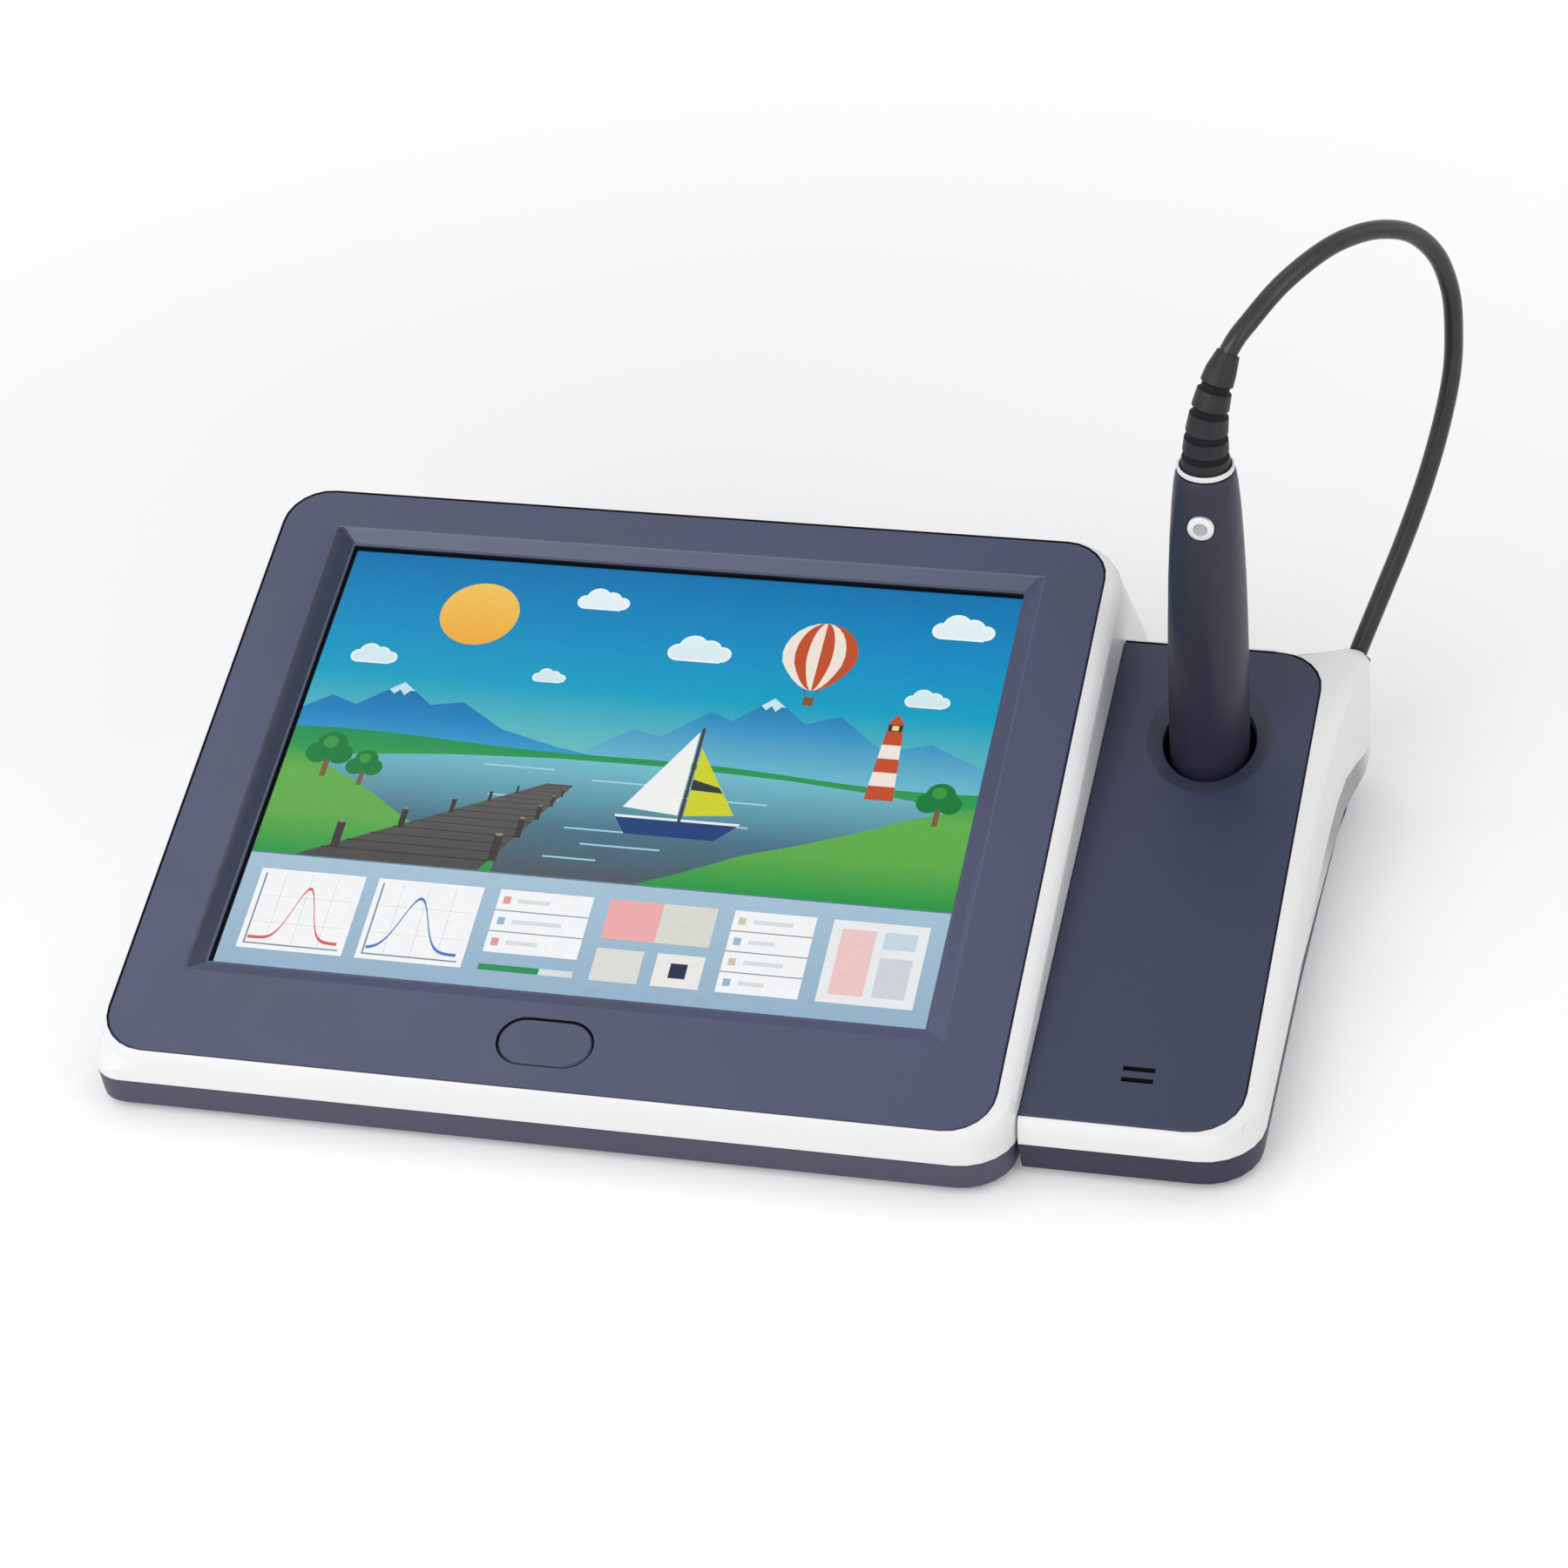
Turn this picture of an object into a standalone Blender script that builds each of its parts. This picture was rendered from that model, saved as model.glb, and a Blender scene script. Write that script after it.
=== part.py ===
"""Desktop tympanometer: a touch screen unit, a lower housing beside it, and a hand probe standing in a well.

Lengths are metres and angles radians. +Z is up, the front edge faces -Y, and the origin lies under the
middle of the object on the surface that it stands on. Heights named here start at the underside of the
bottom covers, which the feet lift off that surface.
"""
import math

import bmesh
import bpy
from mathutils import Matrix, Vector

MM = 0.001
DEG = math.pi / 180.0

# Fits and mesh steps
GAP = 0.3 * MM
OVERRUN = 2.0 * MM
CORNER_STEPS = 6
SMALL_CORNER_STEPS = 2
RIM_STEPS = 4
ROUND_STEPS = 32
MEDIUM_ROUND_STEPS = 24
SMALL_ROUND_STEPS = 20
SCREW_STEPS = 16
BOSS_STEPS = 12
CURVE_STEPS = 12
SHARP_ANGLE = 35.0 * DEG
QUARTER_TURN = 90.0 * DEG
MERGE_DISTANCE = 0.01 * MM
HAIR = 0.03 * MM
QUAD = 4

# Main housing: tilted dark panel in a white shell, on a dark bottom cover
PANEL_WIDTH = 259.0 * MM
PANEL_LENGTH = 213.5 * MM
PANEL_CORNER = 13.5 * MM
PANEL_TILT = 15.0 * DEG
PANEL_FRONT_HEIGHT = 21.0 * MM
RIM_LEFT = 1.6 * MM
RIM_RIGHT = 5.5 * MM
RIM_FRONT = 1.4 * MM
RIM_REAR = 1.2 * MM
RIM_DROP = 5.0 * MM
RIM_CORNER = 15.5 * MM
LEFT_LEAN = 2.0 * MM
LEFT_FRONT_CORNER = 9.0 * MM
SHELL_WALL = 2.4 * MM
MAIN_DEPTH = 247.0 * MM
MAIN_CORNER = 16.0 * MM
MAIN_BENDS = ((11.0 * MM, 22.0 * MM, 0.0), (11.8 * MM, 25.0 * MM, 0.9 * MM), (12.6 * MM, 27.5 * MM, 2.9 * MM))

# Bottom covers and feet
BASE_HEIGHT = 9.3 * MM
BASE_FLOOR = 2.4 * MM
BASE_WALL = 2.6 * MM
BASE_DRAFT = 0.7 * MM
BASE_EDGE = 1.0 * MM
FOOT_RADIUS = 7.0 * MM
FOOT_HEIGHT = 3.0 * MM
FOOT_PROTRUSION = 2.0 * MM
FOOT_INSET = 19.0 * MM
FOOT_EDGE = 0.6 * MM

# Dark panel of the main housing
BEZEL_THICKNESS = 3.0 * MM
BEZEL_EDGE = 0.5 * MM
SEAT_SHELF = 3.0 * MM
SEAT_SHELF_THICKNESS = 2.0 * MM
PAD_DEPTH = 5.6 * MM
PAD_WALL = 1.6 * MM

# Screen and its recess, sizes along the panel
SCREEN_WIDTH = 211.2 * MM
SCREEN_LENGTH = 161.6 * MM
SCREEN_LEFT = 24.2 * MM
SCREEN_FRONT = 32.7 * MM
RECESS_LEFT = 6.0 * MM
RECESS_RIGHT = 5.6 * MM
RECESS_REAR = 5.0 * MM
RECESS_FRONT = 4.0 * MM
RECESS_FRONT_DEPTH = 0.3 * MM
RECESS_REAR_DEPTH = 2.8 * MM
RECESS_CORNER = 1.5 * MM
RECESS_LEDGE = 0.8 * MM
WINDOW_LIP = 1.2 * MM
GLASS_THICKNESS = 1.8 * MM
GLASS_SIDE = 7.0 * MM
GLASS_FRONT = 4.4 * MM
GLASS_REAR = 7.0 * MM
DISPLAY_THICKNESS = 6.0 * MM
DISPLAY_INSET = 1.6 * MM
TRAY_SHEET = 1.0 * MM

# Oval front button and the switch under it
BUTTON_LENGTH = 27.4 * MM
BUTTON_WIDTH = 15.2 * MM
BUTTON_X = 129.6 * MM
BUTTON_V = 15.7 * MM
BUTTON_CLEARANCE = 0.5 * MM
BUTTON_FLANGE = 1.2 * MM
BUTTON_FLANGE_THICKNESS = 1.5 * MM
BUTTON_EDGE = 0.5 * MM
BUTTON_TRAVEL = 0.8 * MM
SWITCH_SIZE = 6.0 * MM
SWITCH_HEIGHT = 2.8 * MM
BUTTON_BOARD_LENGTH = 56.0 * MM
BUTTON_BOARD_WIDTH = 12.0 * MM
BUTTON_BOSS_OFFSET = 22.0 * MM
BUTTON_BOSS_RADIUS = 3.0 * MM
BOARD_THICKNESS = 1.6 * MM

# Side housing: lower tilted cover, white shell with a flared rear corner
SIDE_COVER_WIDTH = 60.6 * MM
SIDE_COVER_LENGTH = 183.6 * MM
SIDE_TILT = 10.2 * DEG
SIDE_SETBACK = 12.5 * MM
SIDE_FRONT_HEIGHT = 18.2 * MM
SIDE_FRONT_CORNER = 15.0 * MM
SIDE_REAR_CORNER = 14.0 * MM
SIDE_SQUARE_CORNER = 0.5 * MM
SIDE_COVER_THICKNESS = 2.6 * MM
SIDE_RIM_RIGHT = 5.6 * MM
SIDE_RIM_FRONT = 2.4 * MM
SIDE_RIM_REAR = 2.0 * MM
SIDE_RIM_DROP = 4.0 * MM
SIDE_SHELL_CORNER = 17.0 * MM
SIDE_REAR_LEAN = 8.0 * MM
EAR_BACK = 4.8 * MM
EAR_CORNER = 5.0 * MM
EAR_WIDTH = 5.2 * MM
EAR_DIP = 2.6 * MM
EAR_CAVITY_SHARE = 0.35
EAR_BASE_SHARE = 0.55
FRONT_CREASE_HEIGHT = 12.0 * MM
FRONT_SCOOP_HEIGHT = 10.8 * MM
REAR_CREASE_HEIGHT = 16.5 * MM
REAR_SCOOP_HEIGHT = 13.0 * MM

# The flared corner at plan depths: how far its foot, its scoop, its crease and its shoulder stand out
# from the straight wall, then the heights of the scoop and the crease
EAR_STATIONS = (
    (100.0 * MM, 0.0, 0.0, 0.0, 0.0, FRONT_SCOOP_HEIGHT, FRONT_CREASE_HEIGHT),
    (123.0 * MM, 0.7 * MM, 0.2 * MM, 0.3 * MM, 0.2 * MM, 11.6 * MM, 13.8 * MM),
    (138.0 * MM, 1.2 * MM, 0.2 * MM, 0.7 * MM, 0.5 * MM, 12.6 * MM, 16.0 * MM),
    (150.0 * MM, 1.7 * MM, 0.3 * MM, 1.2 * MM, 0.9 * MM, 13.4 * MM, 18.0 * MM),
    (161.0 * MM, 2.3 * MM, 0.6 * MM, 2.0 * MM, 1.6 * MM, 14.4 * MM, 20.5 * MM),
    (172.0 * MM, 2.7 * MM, 1.4 * MM, 3.3 * MM, 2.8 * MM, 15.0 * MM, 22.0 * MM),
    (183.0 * MM, 4.8 * MM, 3.4 * MM, 5.0 * MM, 4.6 * MM, 14.4 * MM, 19.5 * MM),
    (192.0 * MM, 6.5 * MM, 5.8 * MM, 6.8 * MM, 6.5 * MM, 13.4 * MM, 17.2 * MM),
)
EAR_FLARES = (6.9 * MM, 6.6 * MM, 7.1 * MM, 7.2 * MM)
FOOT_LEVEL, SCOOP_LEVEL, CREASE_LEVEL, SHOULDER_LEVEL = range(4)
SCOOP_COLUMN, CREASE_COLUMN = 5, 6

# Slots in the side cover and the loudspeaker under them
SLOT_LENGTH = 9.0 * MM
SLOT_WIDTH = 1.6 * MM
SLOT_PITCH = 3.9 * MM
SLOT_V = 17.9 * MM
SPEAKER_RADIUS = 14.0 * MM
SPEAKER_DEPTH = 6.0 * MM
SPEAKER_MAGNET_RADIUS = 8.0 * MM

# Probe well, an oval opening with a shallow dish round it
WELL_OFFSET = 0.7 * MM
WELL_V = 146.9 * MM
WELL_HALF_WIDTH = 13.8 * MM
WELL_HALF_LENGTH = 16.8 * MM
DISH_HALF_WIDTH = 18.6 * MM
DISH_HALF_LENGTH = 22.5 * MM
DISH_DEPTH = 1.5 * MM
WELL_WALL = 1.8 * MM
WELL_FLANGE = 5.5 * MM
WELL_FLANGE_THICKNESS = 1.6 * MM
WELL_FLOOR = 1.6 * MM
WELL_SEAT_HEIGHT = 17.2 * MM
WELL_THROAT_RADIUS = 8.5 * MM

# Hand probe
HANDLE_HEIGHT = 137.8 * MM
HANDLE_HALF_WIDTH = 11.8 * MM
HANDLE_HALF_DEPTH = 13.3 * MM
HANDLE_TOP_RADIUS = 8.4 * MM
HANDLE_WALL = 2.0 * MM
COLLAR_RADIUS = 8.2 * MM
COLLAR_HEIGHT = 1.6 * MM
RELIEF_FOOT_RADIUS = 7.2 * MM
RELIEF_NECK_RADIUS = 4.5 * MM
RELIEF_TIP_RADIUS = 3.4 * MM
RELIEF_LENGTH = 34.0 * MM
RELIEF_LEAN = 9.0 * MM
RELIEF_BEND = 2.6
RELIEF_GROOVE = 0.8 * MM
RELIEF_GROOVE_WIDTH = 1.1 * MM
RELIEF_NECK_SHARE = 0.87
RELIEF_GROOVE_SHARES = (0.155, 0.33, 0.54, 0.74)
RELIEF_BORE_DEPTH = 4.0 * MM
NOSE_RADIUS = 6.4 * MM
NOSE_PLUG_LENGTH = 12.0 * MM
NOSE_BOTTOM = 9.0 * MM
NOSE_CHAMFER = 2.0 * MM
TIP_RADIUS = 3.2 * MM
TIP_BORE_RADIUS = 1.2 * MM

# Round probe button, facing the front
PROBE_BUTTON_RADIUS = 3.8 * MM
PROBE_BUTTON_DROP = 13.3 * MM
PROBE_BUTTON_CLEARANCE = 0.3 * MM
PROBE_BUTTON_PROUD = 0.5 * MM
PROBE_BUTTON_DISH_RADIUS = 2.1 * MM
PROBE_BUTTON_DISH_DEPTH = 0.35 * MM
PROBE_BUTTON_FLANGE = 0.9 * MM
PROBE_BUTTON_FLANGE_THICKNESS = 0.8 * MM
PROBE_BUTTON_TRAVEL = 0.7 * MM
PROBE_SWITCH_HEIGHT = 1.6 * MM
PROBE_SWITCH_SIZE = 5.0 * MM
PROBE_BOARD_LENGTH = 74.0 * MM
RECEIVER_RADIUS = 4.0 * MM
RECEIVER_LENGTH = 3.0 * MM
MICROPHONE_RADIUS = 3.0 * MM
MICROPHONE_LENGTH = 1.5 * MM
SENSOR_STEP = 16.0 * MM

# Cable and its outlet in the flared corner
CABLE_RADIUS = 2.75 * MM
GLAND_RADIUS = 4.4 * MM
GLAND_LENGTH = 16.0 * MM
GLAND_LEAN = 29.0 * DEG
GLAND_X = 333.4 * MM
GLAND_Y = 202.3 * MM
GLAND_TOP = 45.5 * MM
CABLE_HOLE_REACH = 9.0 * MM
CABLE_ENDS_STRAIGHT = 6.0 * MM
CABLE_STEP = 4.6 * MM
CABLE_RESOLUTION = 3

# Boards, connectors and the ribbon between the housings
BOSS_RADIUS = 3.5 * MM
MAIN_BOARD_LEFT = 30.0 * MM
MAIN_BOARD_FRONT = 40.0 * MM
MAIN_BOARD_LENGTH = 190.0 * MM
MAIN_BOARD_TO_PUMP = 29.0 * MM
MAIN_BOARD_HEIGHT = 6.7 * MM
BOARD_BOSS_INSET = 8.0 * MM
SHIELD_LENGTH = 60.0 * MM
SHIELD_WIDTH = 46.0 * MM
SHIELD_HEIGHT = 4.0 * MM
PRESSURE_LENGTH = 26.0 * MM
PRESSURE_WIDTH = 18.0 * MM
PRESSURE_HEIGHT = 12.0 * MM
PLUG_LENGTH = 8.0 * MM
PLUG_WIDTH = 16.0 * MM
PLUG_HEIGHT = 2.4 * MM
RIBBON_WIDTH = 12.0 * MM
RIBBON_THICKNESS = 1.2 * MM
RIBBON_Y = 120.0 * MM
RIBBON_WINDOW = 1.2 * MM
SIDE_BOARD_LENGTH = 42.0 * MM
SIDE_BOARD_WIDTH = 34.0 * MM
SIDE_BOARD_INSET = 9.0 * MM

# Power board and its sockets in the rear wall
POWER_BOARD_LEFT = 140.0 * MM
POWER_BOARD_LENGTH = 86.0 * MM
POWER_BOARD_WIDTH = 34.0 * MM
POWER_BOARD_REAR = 6.0 * MM
POWER_BOARD_HEIGHT = 9.3 * MM
SOCKET_REVEAL = 0.7 * MM
SOCKET_DEPTH = 14.0 * MM
SOCKET_CLEARANCE = 0.4 * MM
JACK_WIDTH = 9.0 * MM
JACK_HEIGHT = 11.0 * MM
JACK_BORE_RADIUS = 3.0 * MM
JACK_PIN_RADIUS = 1.0 * MM
JACK_BORE_DEPTH = 9.0 * MM
USB_B_WIDTH = 12.0 * MM
USB_B_HEIGHT = 11.0 * MM
USB_A_WIDTH = 14.0 * MM
USB_A_HEIGHT = 7.0 * MM
USB_SHELL = 0.9 * MM
USB_TONGUE_SHARE = 0.36
USB_TONGUE_BACK = 1.2 * MM
USB_DEPTH = 9.5 * MM
SOCKET_PITCH = 25.0 * MM
SOCKET_FIRST = 15.0 * MM

# Air pump
PUMP_RADIUS = 13.0 * MM
PUMP_LENGTH = 36.0 * MM
PUMP_X = 56.0 * MM
PUMP_REAR = 33.0 * MM
MOTOR_RADIUS = 10.0 * MM
MOTOR_LENGTH = 28.0 * MM
BRACKET_MARGIN = 2.0 * MM
BRACKET_PLATE = 3.0 * MM
BRACKET_HEIGHT = 12.0 * MM
TUBE_RADIUS = 2.5 * MM
TUBE_RISE = 12.0 * MM
TUBE_POINTS = 18
TUBE_RESOLUTION = 2

# Case screws
SCREW_RADIUS = 1.5 * MM
SCREW_HEAD_RADIUS = 3.0 * MM
SCREW_HEAD_HEIGHT = 2.0 * MM
SCREW_LENGTH = 8.6 * MM
SCREW_SEAT_HEIGHT = 3.6 * MM
SCREW_BOSS_RADIUS = 4.6 * MM
SCREW_POST_HEIGHT = 4.4 * MM
SCREW_POST_ROOF = 1.2 * MM
SCREW_INSET = 6.0 * MM
SIDE_SCREW_REAR = -1.6 * MM
SIDE_SCREW_LEFT = 9.5 * MM
SCREW_OFFSET = 34.0 * MM

# Height share and how far the handle has swelled from its top radius to its widest part
HANDLE_SHARES = ((0.0, 0.55), (0.018, 0.86), (0.08, 0.97), (0.22, 1.0), (0.42, 1.0), (0.56, 0.93),
                 (0.70, 0.81), (0.82, 0.62), (0.91, 0.42), (0.97, 0.22), (0.992, 0.09), (1.0, 0.0))
HANDLE_TAPER_SHARE = 0.5

# The cable's own route: distance from the probe's axis towards the outlet, and height
CABLE_ROUTE = ((16.4 * MM, 178.6 * MM), (27.7 * MM, 185.4 * MM), (41.2 * MM, 189.8 * MM),
               (52.5 * MM, 190.9 * MM), (65.2 * MM, 188.8 * MM), (78.2 * MM, 182.4 * MM),
               (88.4 * MM, 171.2 * MM), (94.1 * MM, 157.5 * MM), (95.9 * MM, 144.5 * MM),
               (95.8 * MM, 131.0 * MM), (93.5 * MM, 118.9 * MM), (89.6 * MM, 105.9 * MM),
               (84.0 * MM, 91.8 * MM), (77.0 * MM, 77.6 * MM), (69.9 * MM, 65.0 * MM))

# Sizes and places that follow
SIDE_LEFT = PANEL_WIDTH + RIM_RIGHT + GAP
SIDE_RIGHT = SIDE_COVER_WIDTH + SIDE_RIM_RIGHT
SIDE_REAR = SIDE_COVER_LENGTH * math.cos(SIDE_TILT) + SIDE_RIM_REAR
EAR_RIGHT = SIDE_LEFT + SIDE_RIGHT + max(EAR_FLARES)
CENTRE_X = (EAR_RIGHT - RIM_LEFT - LEFT_LEAN) / 2
CENTRE_Y = (MAIN_DEPTH - RIM_FRONT) / 2
SEAT_DEPTH = BEZEL_THICKNESS + GAP
SIDE_SEAT_DEPTH = SIDE_COVER_THICKNESS + GAP
WELL_X = SIDE_LEFT + SIDE_COVER_WIDTH / 2 + WELL_OFFSET
WELL_Y = SIDE_SETBACK + WELL_V * math.cos(SIDE_TILT)
BUTTON_BOARD_DEPTH = (SEAT_DEPTH + BUTTON_FLANGE_THICKNESS + BUTTON_TRAVEL + GAP
                      + SWITCH_HEIGHT + GAP)
HANDLE_BOTTOM = WELL_SEAT_HEIGHT + GAP
PROBE_BUTTON_HEIGHT = HANDLE_HEIGHT - PROBE_BUTTON_DROP
PUMP_SADDLE_HALF = PUMP_RADIUS + BRACKET_MARGIN
MAIN_BOARD_WIDTH = MAIN_DEPTH - PUMP_REAR - PUMP_SADDLE_HALF - MAIN_BOARD_TO_PUMP - MAIN_BOARD_FRONT
RECESS_LENGTH = RECESS_FRONT + SCREEN_LENGTH + RECESS_REAR
RECESS_TILT = math.atan2(RECESS_REAR_DEPTH - RECESS_FRONT_DEPTH, RECESS_LENGTH)


def collection(name):
    """A new collection linked to the scene."""
    made = bpy.data.collections.new(name)
    bpy.context.scene.collection.children.link(made)
    return made


def clear_scene():
    """Removes what the scene holds at the start."""
    for held in list(bpy.data.objects):
        bpy.data.objects.remove(held)


clear_scene()
PARTS = collection("tympanometer")
CUTTERS = collection("cutters")


def material(name, colour, roughness, metallic=0.0):
    """A Principled material."""
    made = bpy.data.materials.new(name)
    made.use_nodes = True
    shader = made.node_tree.nodes["Principled BSDF"]
    shader.inputs["Base Color"].default_value = (*colour, 1.0)
    shader.inputs["Roughness"].default_value = roughness
    shader.inputs["Metallic"].default_value = metallic
    return made


SLATE = material("slate_plastic", (0.095, 0.11, 0.17), 0.45)
WHITE = material("white_plastic", (0.86, 0.86, 0.85), 0.4)
BLACK = material("black_rubber", (0.03, 0.03, 0.033), 0.55)
GLASS = material("screen_glass", (0.1, 0.3, 0.45), 0.08)
BOARD = material("green_board", (0.02, 0.14, 0.06), 0.5)
STEEL = material("steel", (0.55, 0.56, 0.57), 0.35, 1.0)
DARK_PLASTIC = material("dark_plastic", (0.05, 0.05, 0.055), 0.5)
CLEAR_TUBE = material("silicone_tube", (0.7, 0.72, 0.72), 0.5)


def frame(name, parent=None, location=(0.0, 0.0, 0.0), tilt=0.0):
    """An empty that carries pieces, tilted about its own X axis."""
    made = bpy.data.objects.new(name, None)
    PARTS.objects.link(made)
    made.parent = parent
    made.location = location
    made.rotation_euler = (tilt, 0.0, 0.0)
    return made


ROOT = frame("tympanometer_frame", location=(-CENTRE_X, -CENTRE_Y, FOOT_PROTRUSION))
PANEL = frame("panel_frame", ROOT, (0.0, 0.0, PANEL_FRONT_HEIGHT), PANEL_TILT)
SIDE = frame("side_frame", ROOT, (SIDE_LEFT, SIDE_SETBACK, SIDE_FRONT_HEIGHT), SIDE_TILT)
DISPLAY_DEPTH = RECESS_FRONT_DEPTH + RECESS_FRONT * math.tan(RECESS_TILT)
DISPLAY = frame("display_frame", PANEL, (SCREEN_LEFT, SCREEN_FRONT, -DISPLAY_DEPTH), -RECESS_TILT)
PROBE = frame("probe_frame", ROOT, (WELL_X, WELL_Y, HANDLE_BOTTOM))


def add_object(name, mesh, parent, surface, location=(0.0, 0.0, 0.0), rotation=(0.0, 0.0, 0.0)):
    """Links a mesh as one sub-part."""
    made = bpy.data.objects.new(name, mesh)
    PARTS.objects.link(made)
    made.parent = parent
    made.location = location
    made.rotation_euler = rotation
    if surface is not None:
        mesh.materials.append(surface)
    mesh.shade_smooth()
    mesh.set_sharp_from_angle(angle=SHARP_ANGLE)
    for face in mesh.polygons:
        face.use_smooth = len(face.vertices) <= QUAD
    return made


def mesh_from(name, build):
    """A mesh filled by a bmesh function, its faces turned outward."""
    mesh = bpy.data.meshes.new(name)
    shape = bmesh.new()
    build(shape)
    bmesh.ops.recalc_face_normals(shape, faces=shape.faces)
    shape.to_mesh(mesh)
    shape.free()
    return mesh


def box(name, low, high, parent, surface):
    """A box between two corners."""
    low = Vector(low)
    high = Vector(high)
    middle = (low + high) / 2
    size = high - low

    def build(shape):
        bmesh.ops.create_cube(shape, size=1.0, matrix=Matrix.Diagonal((*size, 1.0)))

    return add_object(name, mesh_from(name, build), parent, surface, middle)


def cylinder(name, radius, height, parent, surface, foot, rotation=(0.0, 0.0, 0.0), steps=SMALL_ROUND_STEPS):
    """A cylinder that stands on its foot point, along its own Z."""

    def build(shape):
        lift = Matrix.Translation((0.0, 0.0, height / 2))
        bmesh.ops.create_cone(shape, cap_ends=True, segments=steps, radius1=radius, radius2=radius,
                              depth=height, matrix=lift)

    return add_object(name, mesh_from(name, build), parent, surface, foot, rotation)


def loft(name, rings, parent, surface, location=(0.0, 0.0, 0.0), rotation=(0.0, 0.0, 0.0), closed=False):
    """A skin through outlines of equal point count, capped, or joined end to end."""

    def build(shape):
        rows = [[shape.verts.new(point) for point in ring] for ring in rings]
        pairs = list(zip(rows, rows[1:]))
        if closed:
            pairs.append((rows[-1], rows[0]))
        for lower, upper in pairs:
            for here in range(len(lower)):
                after = (here + 1) % len(lower)
                shape.faces.new((lower[here], lower[after], upper[after], upper[here]))
        if not closed:
            shape.faces.new(rows[0])
            shape.faces.new(rows[-1])

    return add_object(name, mesh_from(name, build), parent, surface, location, rotation)


def turned(name, profile, parent, surface, location=(0.0, 0.0, 0.0), rotation=(0.0, 0.0, 0.0),
           ring=False, steps=SMALL_ROUND_STEPS):
    """A profile of radius and height turned about Z; its outer side runs top to bottom."""
    count = len(profile)
    edges = [(here, here + 1) for here in range(count - 1)]
    if ring:
        edges.append((count - 1, 0))
    mesh = bpy.data.meshes.new(name)
    mesh.from_pydata([(radius, 0.0, height) for radius, height in profile], edges, [])
    made = add_object(name, mesh, parent, surface, location, rotation)
    screw = made.modifiers.new("turn", "SCREW")
    screw.steps = steps
    screw.render_steps = steps
    screw.use_merge_vertices = True
    screw.merge_threshold = MERGE_DISTANCE
    screw.use_smooth_shade = True
    return made


def cut(target, cutter, operation="DIFFERENCE"):
    """Cuts a piece, or joins it, with a guide solid that is not a piece itself."""
    if cutter.name not in CUTTERS.objects:
        CUTTERS.objects.link(cutter)
        PARTS.objects.unlink(cutter)
    cutter.hide_render = True
    cutter.display_type = "WIRE"
    step = target.modifiers.new(cutter.name, "BOOLEAN")
    step.operation = operation
    step.solver = "EXACT"
    step.object = cutter


def rounded_box(left, right, front, rear, corners, steps=CORNER_STEPS):
    """Counter-clockwise outline; corners are the radii front left, front right, rear right, rear left."""
    radii = corners if isinstance(corners, tuple) else (corners,) * 4
    centres = ((left + radii[0], front + radii[0]), (right - radii[1], front + radii[1]),
               (right - radii[2], rear - radii[2]), (left + radii[3], rear - radii[3]))
    points = []
    for turn, ((x, y), radius) in enumerate(zip(centres, radii)):
        for step in range(steps + 1):
            angle = (turn + 2 + step / steps) * math.pi / 2
            points.append((x + radius * math.cos(angle), y + radius * math.sin(angle)))
    return points


def obround(length, width, steps=CORNER_STEPS):
    """Outline of a bar with round ends, about its middle."""
    return rounded_box(-length / 2, length / 2, -width / 2, width / 2, width / 2, steps)


def ellipse(half_width, half_length, steps=ROUND_STEPS):
    """Outline of an ellipse about its middle."""
    turns = [2 * math.pi * step / steps for step in range(steps)]
    return [(half_width * math.cos(turn), half_length * math.sin(turn)) for turn in turns]


def level(points, height, middle=(0.0, 0.0)):
    """Lifts an outline to one height."""
    return [Vector((x + middle[0], y + middle[1], height)) for x, y in points]


def sloped(points, low, high, front, rear):
    """Lifts an outline to heights that rise evenly from front to rear."""
    return [Vector((x, y, low + (high - low) * (y - front) / (rear - front))) for x, y in points]


def tilted(points, tilt, origin, depth):
    """Puts an outline drawn along a tilted surface at a depth under that surface."""
    turn = Matrix.Rotation(tilt, 3, "X")
    return [Vector(origin) + turn @ Vector((x, y, -depth)) for x, y in points]


def main_rim(share, drop, inset=0.0, fall=0.0):
    """Outline round the dark panel, from its seat at share 0 to the shell's shoulder at share 1.

    The drop is square to the panel and the fall is straight down."""
    left = GAP + (RIM_LEFT - GAP) * share - inset
    right = GAP + (RIM_RIGHT - GAP) * share - inset
    front = GAP + (RIM_FRONT - GAP) * share - inset
    rear = GAP + (RIM_REAR - GAP) * share - inset
    radius = PANEL_CORNER + GAP + (RIM_CORNER - PANEL_CORNER - GAP) * share - inset
    points = rounded_box(-left, PANEL_WIDTH + right, -front, PANEL_LENGTH + rear, radius)
    return tilted(points, PANEL_TILT, (0.0, 0.0, PANEL_FRONT_HEIGHT - fall), drop)


def main_plan(inset, rear_inset=0.0):
    """Plan outline of the main housing."""
    corner = MAIN_CORNER - inset
    return rounded_box(inset - RIM_LEFT - LEFT_LEAN, PANEL_WIDTH + RIM_RIGHT - inset, -RIM_FRONT + inset,
                       MAIN_DEPTH - inset - rear_inset, (LEFT_FRONT_CORNER - inset, corner, corner, corner))


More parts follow.
